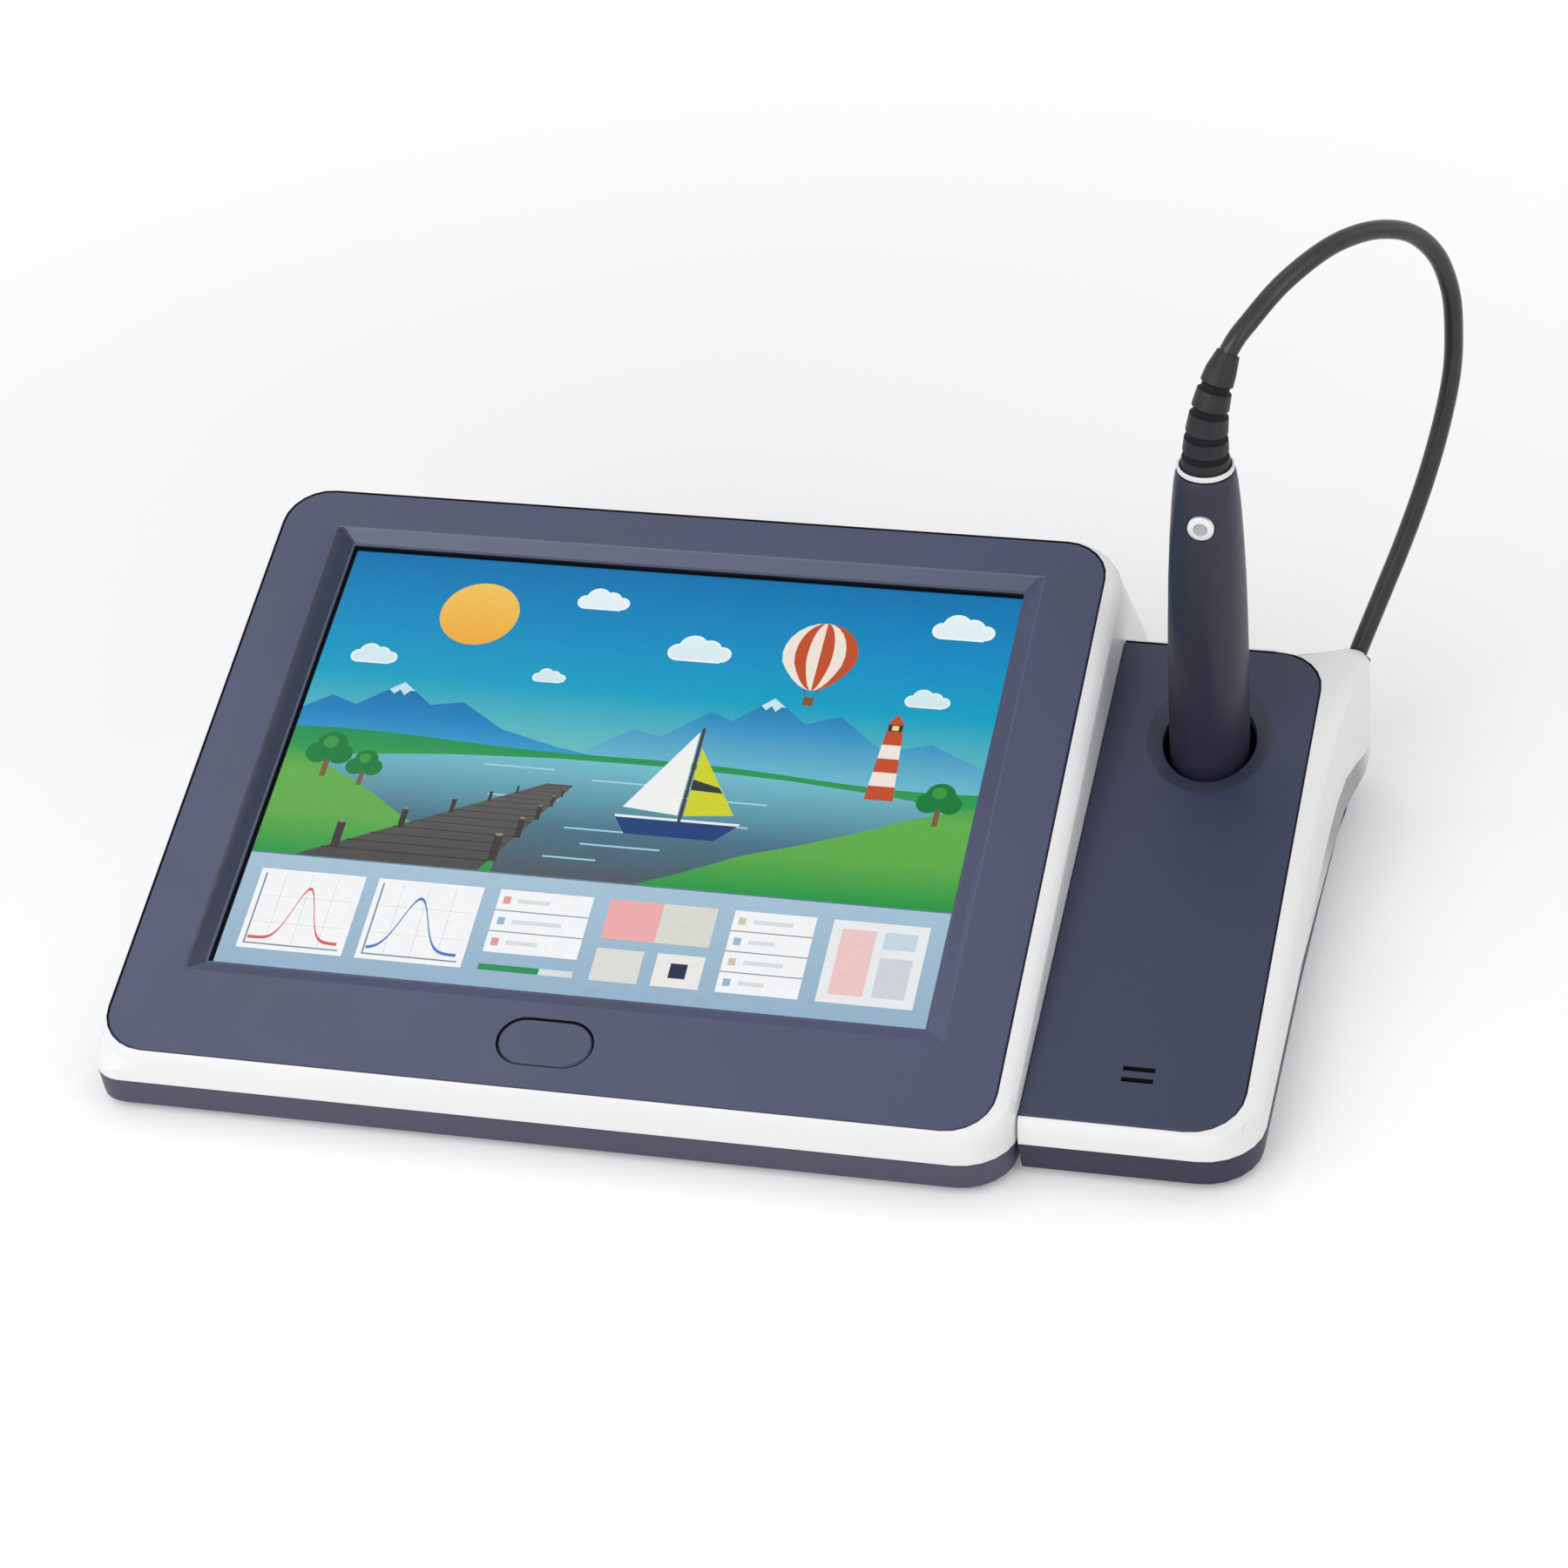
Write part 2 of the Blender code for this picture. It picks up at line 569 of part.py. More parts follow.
def main_shell():
    """White shell: level foot, upright walls, a back that leans in, and a rounded rim to the panel."""
    front = -RIM_FRONT
    rings = [level(main_plan(0.0), BASE_HEIGHT + GAP)]
    for low, high, inset in MAIN_BENDS:
        rings.append(sloped(main_plan(0.0, inset), low, high, front, MAIN_DEPTH - inset))
    for step in range(RIM_STEPS + 1):
        turn = step / RIM_STEPS * math.pi / 2
        rings.append(main_rim(math.cos(turn), 0.0, fall=RIM_DROP * (1 - math.sin(turn))))
    shell = loft("main_shell", rings, ROOT, WHITE)

    under_shelf = SEAT_DEPTH + SEAT_SHELF_THICKNESS
    low, high, _ = MAIN_BENDS[0]
    cavity = [level(main_plan(SHELL_WALL), BASE_HEIGHT - OVERRUN),
              sloped(main_plan(SHELL_WALL), low, high, front + SHELL_WALL, MAIN_DEPTH - SHELL_WALL),
              main_rim(1.0, under_shelf, inset=SHELL_WALL),
              main_rim(0.0, under_shelf, inset=SEAT_SHELF),
              main_rim(0.0, -OVERRUN, inset=SEAT_SHELF)]
    cut(shell, loft("main_shell_cavity", cavity, ROOT, None))
    seat = [main_rim(0.0, SEAT_DEPTH), main_rim(0.0, -OVERRUN)]
    cut(shell, loft("main_panel_seat", seat, ROOT, None))
    return shell


def display_ring(left, right, front, rear, height, corner):
    """Outline given in the screen's frame, returned in the panel's frame."""
    turn = Matrix.Rotation(-RECESS_TILT, 4, "X")
    place = Matrix.Translation((SCREEN_LEFT, SCREEN_FRONT, -DISPLAY_DEPTH)) @ turn
    points = rounded_box(left, right, front, rear, corner, SMALL_CORNER_STEPS)
    return [place @ Vector((x, y, height)) for x, y in points]


def bezel():
    """Dark panel with the shallow screen recess, the window and the hole of the oval button."""
    edge = rounded_box(0.0, PANEL_WIDTH, 0.0, PANEL_LENGTH, PANEL_CORNER)
    top = rounded_box(BEZEL_EDGE, PANEL_WIDTH - BEZEL_EDGE, BEZEL_EDGE, PANEL_LENGTH - BEZEL_EDGE,
                      PANEL_CORNER - BEZEL_EDGE)
    side = GLASS_SIDE + BUTTON_CLEARANCE + PAD_WALL
    pad = rounded_box(SCREEN_LEFT - side, SCREEN_LEFT + SCREEN_WIDTH + side,
                      SCREEN_FRONT - GLASS_FRONT - BUTTON_CLEARANCE - PAD_WALL,
                      SCREEN_FRONT + SCREEN_LENGTH + GLASS_REAR + BUTTON_CLEARANCE + PAD_WALL, PAD_WALL)
    rings = [level(pad, -PAD_DEPTH), level(pad, -BEZEL_THICKNESS), level(edge, -BEZEL_THICKNESS),
             level(edge, -BEZEL_EDGE), level(top, 0.0)]
    panel = loft("bezel", rings, PANEL, SLATE)

    floor = display_ring(-RECESS_LEDGE, SCREEN_WIDTH + RECESS_LEDGE, -RECESS_LEDGE,
                         SCREEN_LENGTH + RECESS_LEDGE, 0.0, RECESS_LEDGE)
    brim = rounded_box(SCREEN_LEFT - RECESS_LEFT, SCREEN_LEFT + SCREEN_WIDTH + RECESS_RIGHT,
                       SCREEN_FRONT - RECESS_FRONT, SCREEN_FRONT + SCREEN_LENGTH + RECESS_REAR,
                       RECESS_CORNER, SMALL_CORNER_STEPS)
    recess = [floor, level(brim, HAIR), level(brim, OVERRUN)]
    cut(panel, loft("screen_recess", recess, PANEL, None))
    clear = BUTTON_CLEARANCE
    cut(panel, box("glass_pocket", (-GLASS_SIDE - clear, -GLASS_FRONT - clear, -PAD_DEPTH - OVERRUN),
                   (SCREEN_WIDTH + GLASS_SIDE + clear, SCREEN_LENGTH + GLASS_REAR + clear, -WINDOW_LIP),
                   DISPLAY, None))
    cut(panel, box("screen_window", (0.0, 0.0, -WINDOW_LIP - OVERRUN), (SCREEN_WIDTH, SCREEN_LENGTH, OVERRUN),
                   DISPLAY, None))
    hole = obround(BUTTON_LENGTH + 2 * clear, BUTTON_WIDTH + 2 * clear)
    middle = (BUTTON_X, BUTTON_V)
    rings = [level(hole, -BEZEL_THICKNESS - OVERRUN, middle), level(hole, OVERRUN, middle)]
    cut(panel, loft("button_hole", rings, PANEL, None))
    for side_name, offset in (("left", -BUTTON_BOSS_OFFSET), ("right", BUTTON_BOSS_OFFSET)):
        height = BUTTON_BOARD_DEPTH - GAP - BEZEL_THICKNESS + BEZEL_EDGE
        cut(panel, cylinder("button_boss_" + side_name, BUTTON_BOSS_RADIUS, height, PANEL, None,
                            (BUTTON_X + offset, BUTTON_V, GAP - BUTTON_BOARD_DEPTH)), "UNION")
    return panel


def display_stack():
    """Touch glass under the window, the display module behind it and the sheet tray that holds it."""
    glass_top = -WINDOW_LIP - GAP
    glass_bottom = glass_top - GLASS_THICKNESS
    box("touch_glass", (-GLASS_SIDE, -GLASS_FRONT, glass_bottom),
        (SCREEN_WIDTH + GLASS_SIDE, SCREEN_LENGTH + GLASS_REAR, glass_top), DISPLAY, GLASS)
    low = (-GLASS_SIDE + DISPLAY_INSET, -GLASS_FRONT + DISPLAY_INSET, glass_bottom - GAP - DISPLAY_THICKNESS)
    high = (SCREEN_WIDTH + GLASS_SIDE - DISPLAY_INSET, SCREEN_LENGTH + GLASS_REAR - DISPLAY_INSET,
            glass_bottom - GAP)
    box("display_module", low, high, DISPLAY, STEEL)
    grow = GAP + TRAY_SHEET
    tray = box("display_tray", (low[0] - grow, low[1] - grow, low[2] - grow),
               (high[0] + grow, high[1] + grow, glass_bottom - GAP), DISPLAY, STEEL)
    cut(tray, box("display_tray_hollow", (low[0] - GAP, low[1] - GAP, low[2] - GAP),
                  (high[0] + GAP, high[1] + GAP, glass_bottom + OVERRUN), DISPLAY, None))


def front_button():
    """Oval button, flush with the panel and held under it by a flange, over its switch and small board."""
    foot = -SEAT_DEPTH - BUTTON_FLANGE_THICKNESS
    flange = obround(BUTTON_LENGTH + 2 * (BUTTON_CLEARANCE + BUTTON_FLANGE),
                     BUTTON_WIDTH + 2 * (BUTTON_CLEARANCE + BUTTON_FLANGE))
    cap = obround(BUTTON_LENGTH, BUTTON_WIDTH)
    top = obround(BUTTON_LENGTH - 2 * BUTTON_EDGE, BUTTON_WIDTH - 2 * BUTTON_EDGE)
    loft("front_button", [level(flange, foot), level(flange, -SEAT_DEPTH), level(cap, -SEAT_DEPTH),
                          level(cap, -BUTTON_EDGE), level(top, 0.0)],
         PANEL, SLATE, (BUTTON_X, BUTTON_V, 0.0))
    half = SWITCH_SIZE / 2
    switch_top = foot - BUTTON_TRAVEL - GAP
    box("button_switch", (BUTTON_X - half, BUTTON_V - half, switch_top - SWITCH_HEIGHT),
        (BUTTON_X + half, BUTTON_V + half, switch_top), PANEL, DARK_PLASTIC)
    box("button_board",
        (BUTTON_X - BUTTON_BOARD_LENGTH / 2, BUTTON_V - BUTTON_BOARD_WIDTH / 2,
         -BUTTON_BOARD_DEPTH - BOARD_THICKNESS),
        (BUTTON_X + BUTTON_BOARD_LENGTH / 2, BUTTON_V + BUTTON_BOARD_WIDTH / 2, -BUTTON_BOARD_DEPTH),
        PANEL, BOARD)


def main_screws():
    """Places of the case screws under the main housing, as name and plan position."""
    front = -RIM_FRONT + SCREW_INSET
    rear = MAIN_DEPTH - SCREW_INSET
    left = -RIM_LEFT + SCREW_OFFSET
    right = PANEL_WIDTH + RIM_RIGHT - SCREW_OFFSET
    return (("front_left", left, front), ("front_right", right, front),
            ("rear_left", left, rear), ("rear_right", PANEL_WIDTH + RIM_RIGHT - SCREW_OFFSET / 2, rear))


def side_screws():
    """Places of the case screws under the side housing."""
    x = SIDE_LEFT + SIDE_SCREW_LEFT
    return (("side_front", x, SIDE_SETBACK - SIDE_RIM_FRONT + SCREW_INSET),
            ("side_rear", x, SIDE_SETBACK + SIDE_REAR + SIDE_SCREW_REAR))


def board_bosses(left, front, length, width):
    """Middles of the four bosses under a board."""
    inset = BOARD_BOSS_INSET
    across = (left + inset, left + length - inset)
    return [(x, y) for x in across for y in (front + inset, front + width - inset)]


def feet_places():
    """Name and plan position of each rubber foot with the cover that carries it."""
    right = PANEL_WIDTH + RIM_RIGHT - FOOT_INSET
    far_right = SIDE_LEFT + SIDE_RIGHT - FOOT_INSET
    rear = MAIN_DEPTH - FOOT_INSET
    side_front = SIDE_SETBACK + FOOT_INSET
    return (("foot_front_left", FOOT_INSET, FOOT_INSET, "main"),
            ("foot_front_right", right, FOOT_INSET, "main"),
            ("foot_rear_left", FOOT_INSET, rear, "main"),
            ("foot_rear_right", right, rear, "main"),
            ("foot_side_front", far_right, side_front, "side"),
            ("foot_side_rear", far_right, SIDE_SETBACK + SIDE_REAR - FOOT_INSET, "side"))


def add_screw_fit(cover, shell, label, x, y):
    """Boss and counterbore in the cover, post and pilot hole in the shell."""
    wide = SCREW_RADIUS + GAP
    root = BASE_FLOOR / 2
    cut(cover, cylinder("screw_boss_" + label, SCREW_BOSS_RADIUS, BASE_HEIGHT - GAP - root, ROOT, None,
                        (x, y, root)), "UNION")
    cut(cover, cylinder("screw_bore_" + label, wide, BASE_HEIGHT + OVERRUN, ROOT, None, (x, y, 0.0)))
    cut(cover, cylinder("screw_counterbore_" + label, SCREW_HEAD_RADIUS + GAP, SCREW_SEAT_HEIGHT + OVERRUN,
                        ROOT, None, (x, y, -OVERRUN)))
    foot = BASE_HEIGHT + 2 * GAP
    cut(shell, cylinder("screw_post_" + label, SCREW_BOSS_RADIUS, SCREW_POST_HEIGHT, ROOT, None,
                        (x, y, foot)), "UNION")
    depth = SCREW_POST_HEIGHT - SCREW_POST_ROOF + OVERRUN
    cut(shell, cylinder("screw_pilot_" + label, wide, depth, ROOT, None, (x, y, foot - OVERRUN)))


def case_screw(label, x, y):
    """Pan head screw, head down in its counterbore."""
    top = SCREW_SEAT_HEIGHT - GAP
    profile = [(0.0, top + SCREW_LENGTH), (SCREW_RADIUS, top + SCREW_LENGTH), (SCREW_RADIUS, top),
               (SCREW_HEAD_RADIUS, top), (SCREW_HEAD_RADIUS, top - SCREW_HEAD_HEIGHT),
               (0.0, top - SCREW_HEAD_HEIGHT)]
    turned("case_screw_" + label, profile, ROOT, STEEL, (x, y, 0.0), steps=SCREW_STEPS)


def tray(name, outline, surface):
    """Bottom cover: an open tray with drafted walls, from a function that insets its outline."""
    rings = [level(outline(BASE_DRAFT + BASE_EDGE), 0.0), level(outline(BASE_DRAFT), BASE_EDGE),
             level(outline(0.0), BASE_HEIGHT)]
    cover = loft(name, rings, ROOT, surface)
    hollow = [level(outline(BASE_WALL + BASE_DRAFT), BASE_FLOOR),
              level(outline(BASE_WALL), BASE_HEIGHT + OVERRUN)]
    cut(cover, loft(name + "_hollow", hollow, ROOT, None))
    return cover


def add_bosses(cover, label, places, top):
    """Round bosses on a cover's floor that carry a board."""
    for number, (x, y) in enumerate(places):
        cut(cover, cylinder("{}_boss_{}".format(label, number), BOSS_RADIUS, top - BASE_FLOOR / 2, ROOT, None,
                            (x, y, BASE_FLOOR / 2), steps=BOSS_STEPS), "UNION")


def rubber_feet(covers):
    """Round feet in shallow pockets of the bottom covers."""
    sunk = FOOT_HEIGHT - FOOT_PROTRUSION
    for name, x, y, carrier in feet_places():
        cut(covers[carrier], cylinder(name + "_pocket", FOOT_RADIUS + GAP, sunk + GAP + OVERRUN, ROOT, None,
                                      (x, y, -OVERRUN), steps=MEDIUM_ROUND_STEPS))
        profile = [(0.0, sunk), (FOOT_RADIUS, sunk), (FOOT_RADIUS, FOOT_EDGE - FOOT_PROTRUSION),
                   (FOOT_RADIUS - FOOT_EDGE, -FOOT_PROTRUSION), (0.0, -FOOT_PROTRUSION)]
        turned(name, profile, ROOT, BLACK, (x, y, 0.0), steps=MEDIUM_ROUND_STEPS)


def side_plan(inset, level_number, rear_shift=0.0, flare_share=1.0):
    """Plan outline of the side housing at one level: square on the left, flared at the rear right."""
    left = SIDE_LEFT + inset
    right = SIDE_LEFT + SIDE_RIGHT - inset
    front = SIDE_SETBACK - SIDE_RIM_FRONT + inset
    rear = SIDE_SETBACK + SIDE_REAR + rear_shift - inset
    back = rear + EAR_BACK
    corner = SIDE_SHELL_CORNER - inset
    ear_corner = EAR_CORNER - inset / 2
    points = [(left, front)]
    for step in range(CORNER_STEPS + 1):
        angle = (step / CORNER_STEPS - 1) * math.pi / 2
        points.append((right - corner + corner * math.cos(angle), front + corner + corner * math.sin(angle)))
    for station in EAR_STATIONS:
        points.append((right + station[1 + level_number] * flare_share, station[0]))
    out = right + EAR_FLARES[level_number] * flare_share
    for step in range(CORNER_STEPS + 1):
        angle = step / CORNER_STEPS * math.pi / 2
        points.append((out - ear_corner + ear_corner * math.cos(angle),
                       back - ear_corner + ear_corner * math.sin(angle)))
    points.append((out - EAR_WIDTH, back))
    points.append((out - EAR_WIDTH - EAR_BACK, back - EAR_BACK + EAR_DIP / 2))
    points.append((out - EAR_WIDTH - 2 * EAR_BACK, rear - EAR_DIP))
    points.append((out - EAR_WIDTH - 4 * EAR_BACK, rear))
    points.append((left, rear))
    return points


def side_height(y, drop):
    """Height of the side cover's surface at a plan depth, less a drop."""
    return SIDE_FRONT_HEIGHT + (y - SIDE_SETBACK) * math.tan(SIDE_TILT) - drop


def between(table, place):
    """Value at one place of a table of places and values, held at both ends."""
    if place <= table[0][0]:
        return table[0][1]
    for (low, low_value), (high, high_value) in zip(table, table[1:]):
        if place <= high:
            return low_value + (high_value - low_value) * (place - low) / (high - low)
    return table[-1][1]


def ear_ring(plan, level_number):
    """Plan outline raised to the crease of the flared corner, or to the scoop that draws in under it."""
    first, last = ((FRONT_CREASE_HEIGHT, REAR_CREASE_HEIGHT) if level_number == CREASE_LEVEL
                   else (FRONT_SCOOP_HEIGHT, REAR_SCOOP_HEIGHT))
    column = CREASE_COLUMN if level_number == CREASE_LEVEL else SCOOP_COLUMN
    table = [(SIDE_SETBACK, first)]
    table += [(station[0], station[column]) for station in EAR_STATIONS]
    table.append((SIDE_SETBACK + SIDE_REAR, last))
    return [Vector((x, y, between(table, y))) for x, y in plan]


def side_inner_plan(inset, level_number, rear_shift, flare_share):
    """Plan outline that stays in front of the groove beside the flared corner, for hollow and bottom."""
    whole = side_plan(inset, level_number, rear_shift, flare_share)
    points = whole[:CORNER_STEPS + 1 + len(EAR_STATIONS)]
    rear = SIDE_SETBACK + SIDE_REAR + rear_shift - inset
    groove = SIDE_LEFT + SIDE_RIGHT + EAR_FLARES[level_number] - EAR_WIDTH
    corner = EAR_CORNER - inset / 2
    centre_x = points[-1][0] - corner
    centre_y = rear - EAR_DIP - corner
    for step in range(CORNER_STEPS + 1):
        angle = step / CORNER_STEPS * math.pi / 2
        points.append((centre_x + corner * math.cos(angle), centre_y + corner * math.sin(angle)))
    return points + [(groove - 2 * EAR_BACK, rear - EAR_DIP), (groove - 4 * EAR_BACK, rear),
                     (SIDE_LEFT + inset, rear)]


def side_base_plan(inset):
    """Plan outline of the side's bottom cover, which stays further in under the flared corner."""
    return side_inner_plan(inset, FOOT_LEVEL, SIDE_REAR_LEAN, EAR_BASE_SHARE)


def side_rim_ring(share, drop):
    """Blend between the shell's shoulder, share 1, and the seat of the side cover, share 0."""
    outer = side_plan(0.0, SHOULDER_LEVEL)
    inner = side_plan(0.0, SHOULDER_LEVEL, 0.0, 0.0)
    land = RIM_FRONT / 2
    middle_y = SIDE_SETBACK + SIDE_REAR / 2
    ring = []
    for (x, y), (inner_x, inner_y) in zip(outer, inner):
        seat_x = min(inner_x, SIDE_LEFT + SIDE_COVER_WIDTH + land)
        limit = SIDE_SETBACK + SIDE_COVER_LENGTH * math.cos(SIDE_TILT) + land
        seat_y = min(inner_y, limit) if y > middle_y else max(inner_y, SIDE_SETBACK - land)
        ring_x = seat_x + (x - seat_x) * share
        ring_y = seat_y + (y - seat_y) * share
        ring.append(Vector((ring_x, ring_y, side_height(ring_y, drop))))
    return ring


def side_cover_outline(grow):
    """Outline of the side cover along its own surface."""
    corners = (SIDE_SQUARE_CORNER, SIDE_FRONT_CORNER + grow, SIDE_REAR_CORNER + grow, SIDE_SQUARE_CORNER)
    return rounded_box(-grow, SIDE_COVER_WIDTH + grow, -grow, SIDE_COVER_LENGTH + grow, corners)


def side_shell():
    """White shell of the side housing with its flared cable corner, cut for the cover's seat."""
    rings = [level(side_plan(0.0, FOOT_LEVEL, SIDE_REAR_LEAN), BASE_HEIGHT + GAP)]
    rings += [ear_ring(side_plan(0.0, number, SIDE_REAR_LEAN / 2), number)
              for number in (SCOOP_LEVEL, CREASE_LEVEL)]
    for step in range(RIM_STEPS + 1):
        turn = step / RIM_STEPS * math.pi / 2
        rings.append(side_rim_ring(math.cos(turn), SIDE_RIM_DROP * (1 - math.sin(turn))))
    shell = loft("side_shell", rings, ROOT, WHITE)

    under_shelf = SIDE_SEAT_DEPTH + SEAT_SHELF_THICKNESS
    foot = side_inner_plan(SHELL_WALL, FOOT_LEVEL, SIDE_REAR_LEAN, EAR_CAVITY_SHARE)
    middle = side_inner_plan(SHELL_WALL, CREASE_LEVEL, SIDE_REAR_LEAN / 2, EAR_CAVITY_SHARE)
    top = side_inner_plan(SHELL_WALL, SHOULDER_LEVEL, 0.0, EAR_CAVITY_SHARE)
    cavity = [level(foot, BASE_HEIGHT - OVERRUN), ear_ring(middle, CREASE_LEVEL),
              [Vector((x, y, side_height(y, under_shelf))) for x, y in top]]
    cut(shell, loft("side_shell_cavity", cavity, ROOT, None))
    corners = (SIDE_SQUARE_CORNER, SIDE_FRONT_CORNER - SEAT_SHELF, SIDE_REAR_CORNER - SEAT_SHELF,
               SIDE_SQUARE_CORNER)
    opening = rounded_box(SEAT_SHELF, SIDE_COVER_WIDTH - SEAT_SHELF, SEAT_SHELF,
                          SIDE_COVER_LENGTH - SEAT_SHELF, corners)
    cut(shell, loft("side_shelf_opening", [level(opening, -under_shelf - OVERRUN), level(opening, OVERRUN)],
                    SIDE, None))
    seat = side_cover_outline(GAP)
    square = 1 + 2 * CORNER_STEPS
    wide = [(x - OVERRUN, y) if here <= CORNER_STEPS or here > square + CORNER_STEPS else (x, y)
            for here, (x, y) in enumerate(seat)]
    cut(shell, loft("side_cover_seat", [level(wide, -SIDE_SEAT_DEPTH), level(wide, OVERRUN * 3)], SIDE, None))
    return shell


def side_cover():
    """Dark cover with the oval well opening in its dish and the pair of slots."""
    outline = side_cover_outline(0.0)
    top = rounded_box(0.0, SIDE_COVER_WIDTH - BEZEL_EDGE, BEZEL_EDGE, SIDE_COVER_LENGTH - BEZEL_EDGE,
                      (SIDE_SQUARE_CORNER, SIDE_FRONT_CORNER - BEZEL_EDGE, SIDE_REAR_CORNER - BEZEL_EDGE,
                       SIDE_SQUARE_CORNER))
    cover = loft("side_cover", [level(outline, -SIDE_COVER_THICKNESS), level(outline, -BEZEL_EDGE),
                                level(top, 0.0)], SIDE, SLATE)
    middle = (SIDE_COVER_WIDTH / 2 + WELL_OFFSET, WELL_V)
    dish = ellipse(DISH_HALF_WIDTH, DISH_HALF_LENGTH)
    hole = ellipse(WELL_HALF_WIDTH, WELL_HALF_LENGTH)
    rings = [level(hole, -SIDE_COVER_THICKNESS - OVERRUN, middle), level(hole, -DISH_DEPTH, middle),
             level(dish, HAIR, middle), level(dish, OVERRUN, middle)]
    cut(cover, loft("well_opening", rings, SIDE, None))
    for name, side in (("front", -1), ("rear", 1)):
        low = (SIDE_COVER_WIDTH / 2 - SLOT_LENGTH / 2, SLOT_V + side * SLOT_PITCH / 2 - SLOT_WIDTH / 2)
        cut(cover, box("slot_" + name, (*low, -SIDE_COVER_THICKNESS - OVERRUN),
                       (low[0] + SLOT_LENGTH, low[1] + SLOT_WIDTH, OVERRUN), SIDE, None))
    return cover


def loudspeaker():
    """Round loudspeaker against the underside of the side cover."""
    top = -SIDE_SEAT_DEPTH
    flange = SPEAKER_DEPTH / 3
    profile = [(0.0, top), (SPEAKER_RADIUS, top), (SPEAKER_RADIUS, top - flange),
               (SPEAKER_MAGNET_RADIUS, top - 2 * flange), (SPEAKER_MAGNET_RADIUS, top - SPEAKER_DEPTH),
               (0.0, top - SPEAKER_DEPTH)]
    turned("loudspeaker", profile, SIDE, DARK_PLASTIC,
           (SIDE_COVER_WIDTH / 2, SEAT_SHELF + SPEAKER_RADIUS + GAP * 2, 0.0), steps=MEDIUM_ROUND_STEPS)


def well_ring(half_width, half_length, drop):
    """Oval outline about the probe's axis, a drop under the side cover's surface."""
    plan = ellipse(half_width, half_length * math.cos(SIDE_TILT))
    points = [(x + WELL_X, y + WELL_Y) for x, y in plan]
    return [Vector((x, y, side_height(y, drop / math.cos(SIDE_TILT)))) for x, y in points]


def probe_well():
    """Cup under the side cover; a ledge in it carries the handle and its throat takes the probe's nose."""
    middle = (WELL_X, WELL_Y)
    deep = SIDE_SEAT_DEPTH + WELL_FLANGE_THICKNESS
    plan_length = WELL_HALF_LENGTH * math.cos(SIDE_TILT)
    wide = WELL_HALF_WIDTH + WELL_WALL
    long = plan_length + WELL_WALL
    throat = WELL_THROAT_RADIUS + WELL_WALL
    floor = BASE_FLOOR + GAP
    ledge = WELL_SEAT_HEIGHT - WELL_WALL
    rings = [level(ellipse(throat, throat), floor, middle),
             level(ellipse(throat, throat), ledge, middle),
             level(ellipse(wide, long), ledge, middle),
             well_ring(wide, WELL_HALF_LENGTH + WELL_WALL, deep),
             well_ring(WELL_HALF_WIDTH + WELL_FLANGE, WELL_HALF_LENGTH + WELL_FLANGE, deep),
             well_ring(WELL_HALF_WIDTH + WELL_FLANGE, WELL_HALF_LENGTH + WELL_FLANGE, SIDE_SEAT_DEPTH),
             well_ring(WELL_HALF_WIDTH, WELL_HALF_LENGTH, SIDE_SEAT_DEPTH),
             level(ellipse(WELL_HALF_WIDTH, plan_length), WELL_SEAT_HEIGHT, middle),
             level(ellipse(WELL_THROAT_RADIUS, WELL_THROAT_RADIUS), WELL_SEAT_HEIGHT, middle),
             level(ellipse(WELL_THROAT_RADIUS, WELL_THROAT_RADIUS), floor + WELL_FLOOR, middle)]
    return loft("probe_well", rings, ROOT, DARK_PLASTIC)


def handle_section(share, swell, inset=0.0):
    """One outline of the probe's handle; swell runs from 0 at the round top to 1 at the widest part."""
    half_width = HANDLE_TOP_RADIUS + (HANDLE_HALF_WIDTH - HANDLE_TOP_RADIUS) * swell - inset
    half_depth = HANDLE_TOP_RADIUS + (HANDLE_HALF_DEPTH - HANDLE_TOP_RADIUS) * swell - inset
    return level(ellipse(half_width, half_depth), share * (HANDLE_HEIGHT - HANDLE_BOTTOM))


def handle_halves(height):
    """Half-width and half-depth of the handle at a height over its bottom."""
    swell = between(HANDLE_SHARES, height / (HANDLE_HEIGHT - HANDLE_BOTTOM))
    return [HANDLE_TOP_RADIUS + (half - HANDLE_TOP_RADIUS) * swell
            for half in (HANDLE_HALF_WIDTH, HANDLE_HALF_DEPTH)]


def probe_handle():
    """Hollow handle of the probe, oval below and round at the top, with the hole of its button."""
    outer = [handle_section(share, swell) for share, swell in HANDLE_SHARES]
    foot = HANDLE_SHARES[0][1]
    inner = [handle_section(share, max(swell, foot) if share < HANDLE_TAPER_SHARE else swell, HANDLE_WALL)
             for share, swell in reversed(HANDLE_SHARES)]
    handle = loft("probe_handle", outer + inner, PROBE, SLATE, closed=True)
    height = PROBE_BUTTON_HEIGHT - HANDLE_BOTTOM
    cut(handle, cylinder("probe_button_hole", PROBE_BUTTON_RADIUS + PROBE_BUTTON_CLEARANCE, HANDLE_HALF_DEPTH,
                         PROBE, None, (0.0, -PROBE_BUTTON_RADIUS, height), (QUARTER_TURN, 0.0, 0.0),
                         MEDIUM_ROUND_STEPS))
    return handle


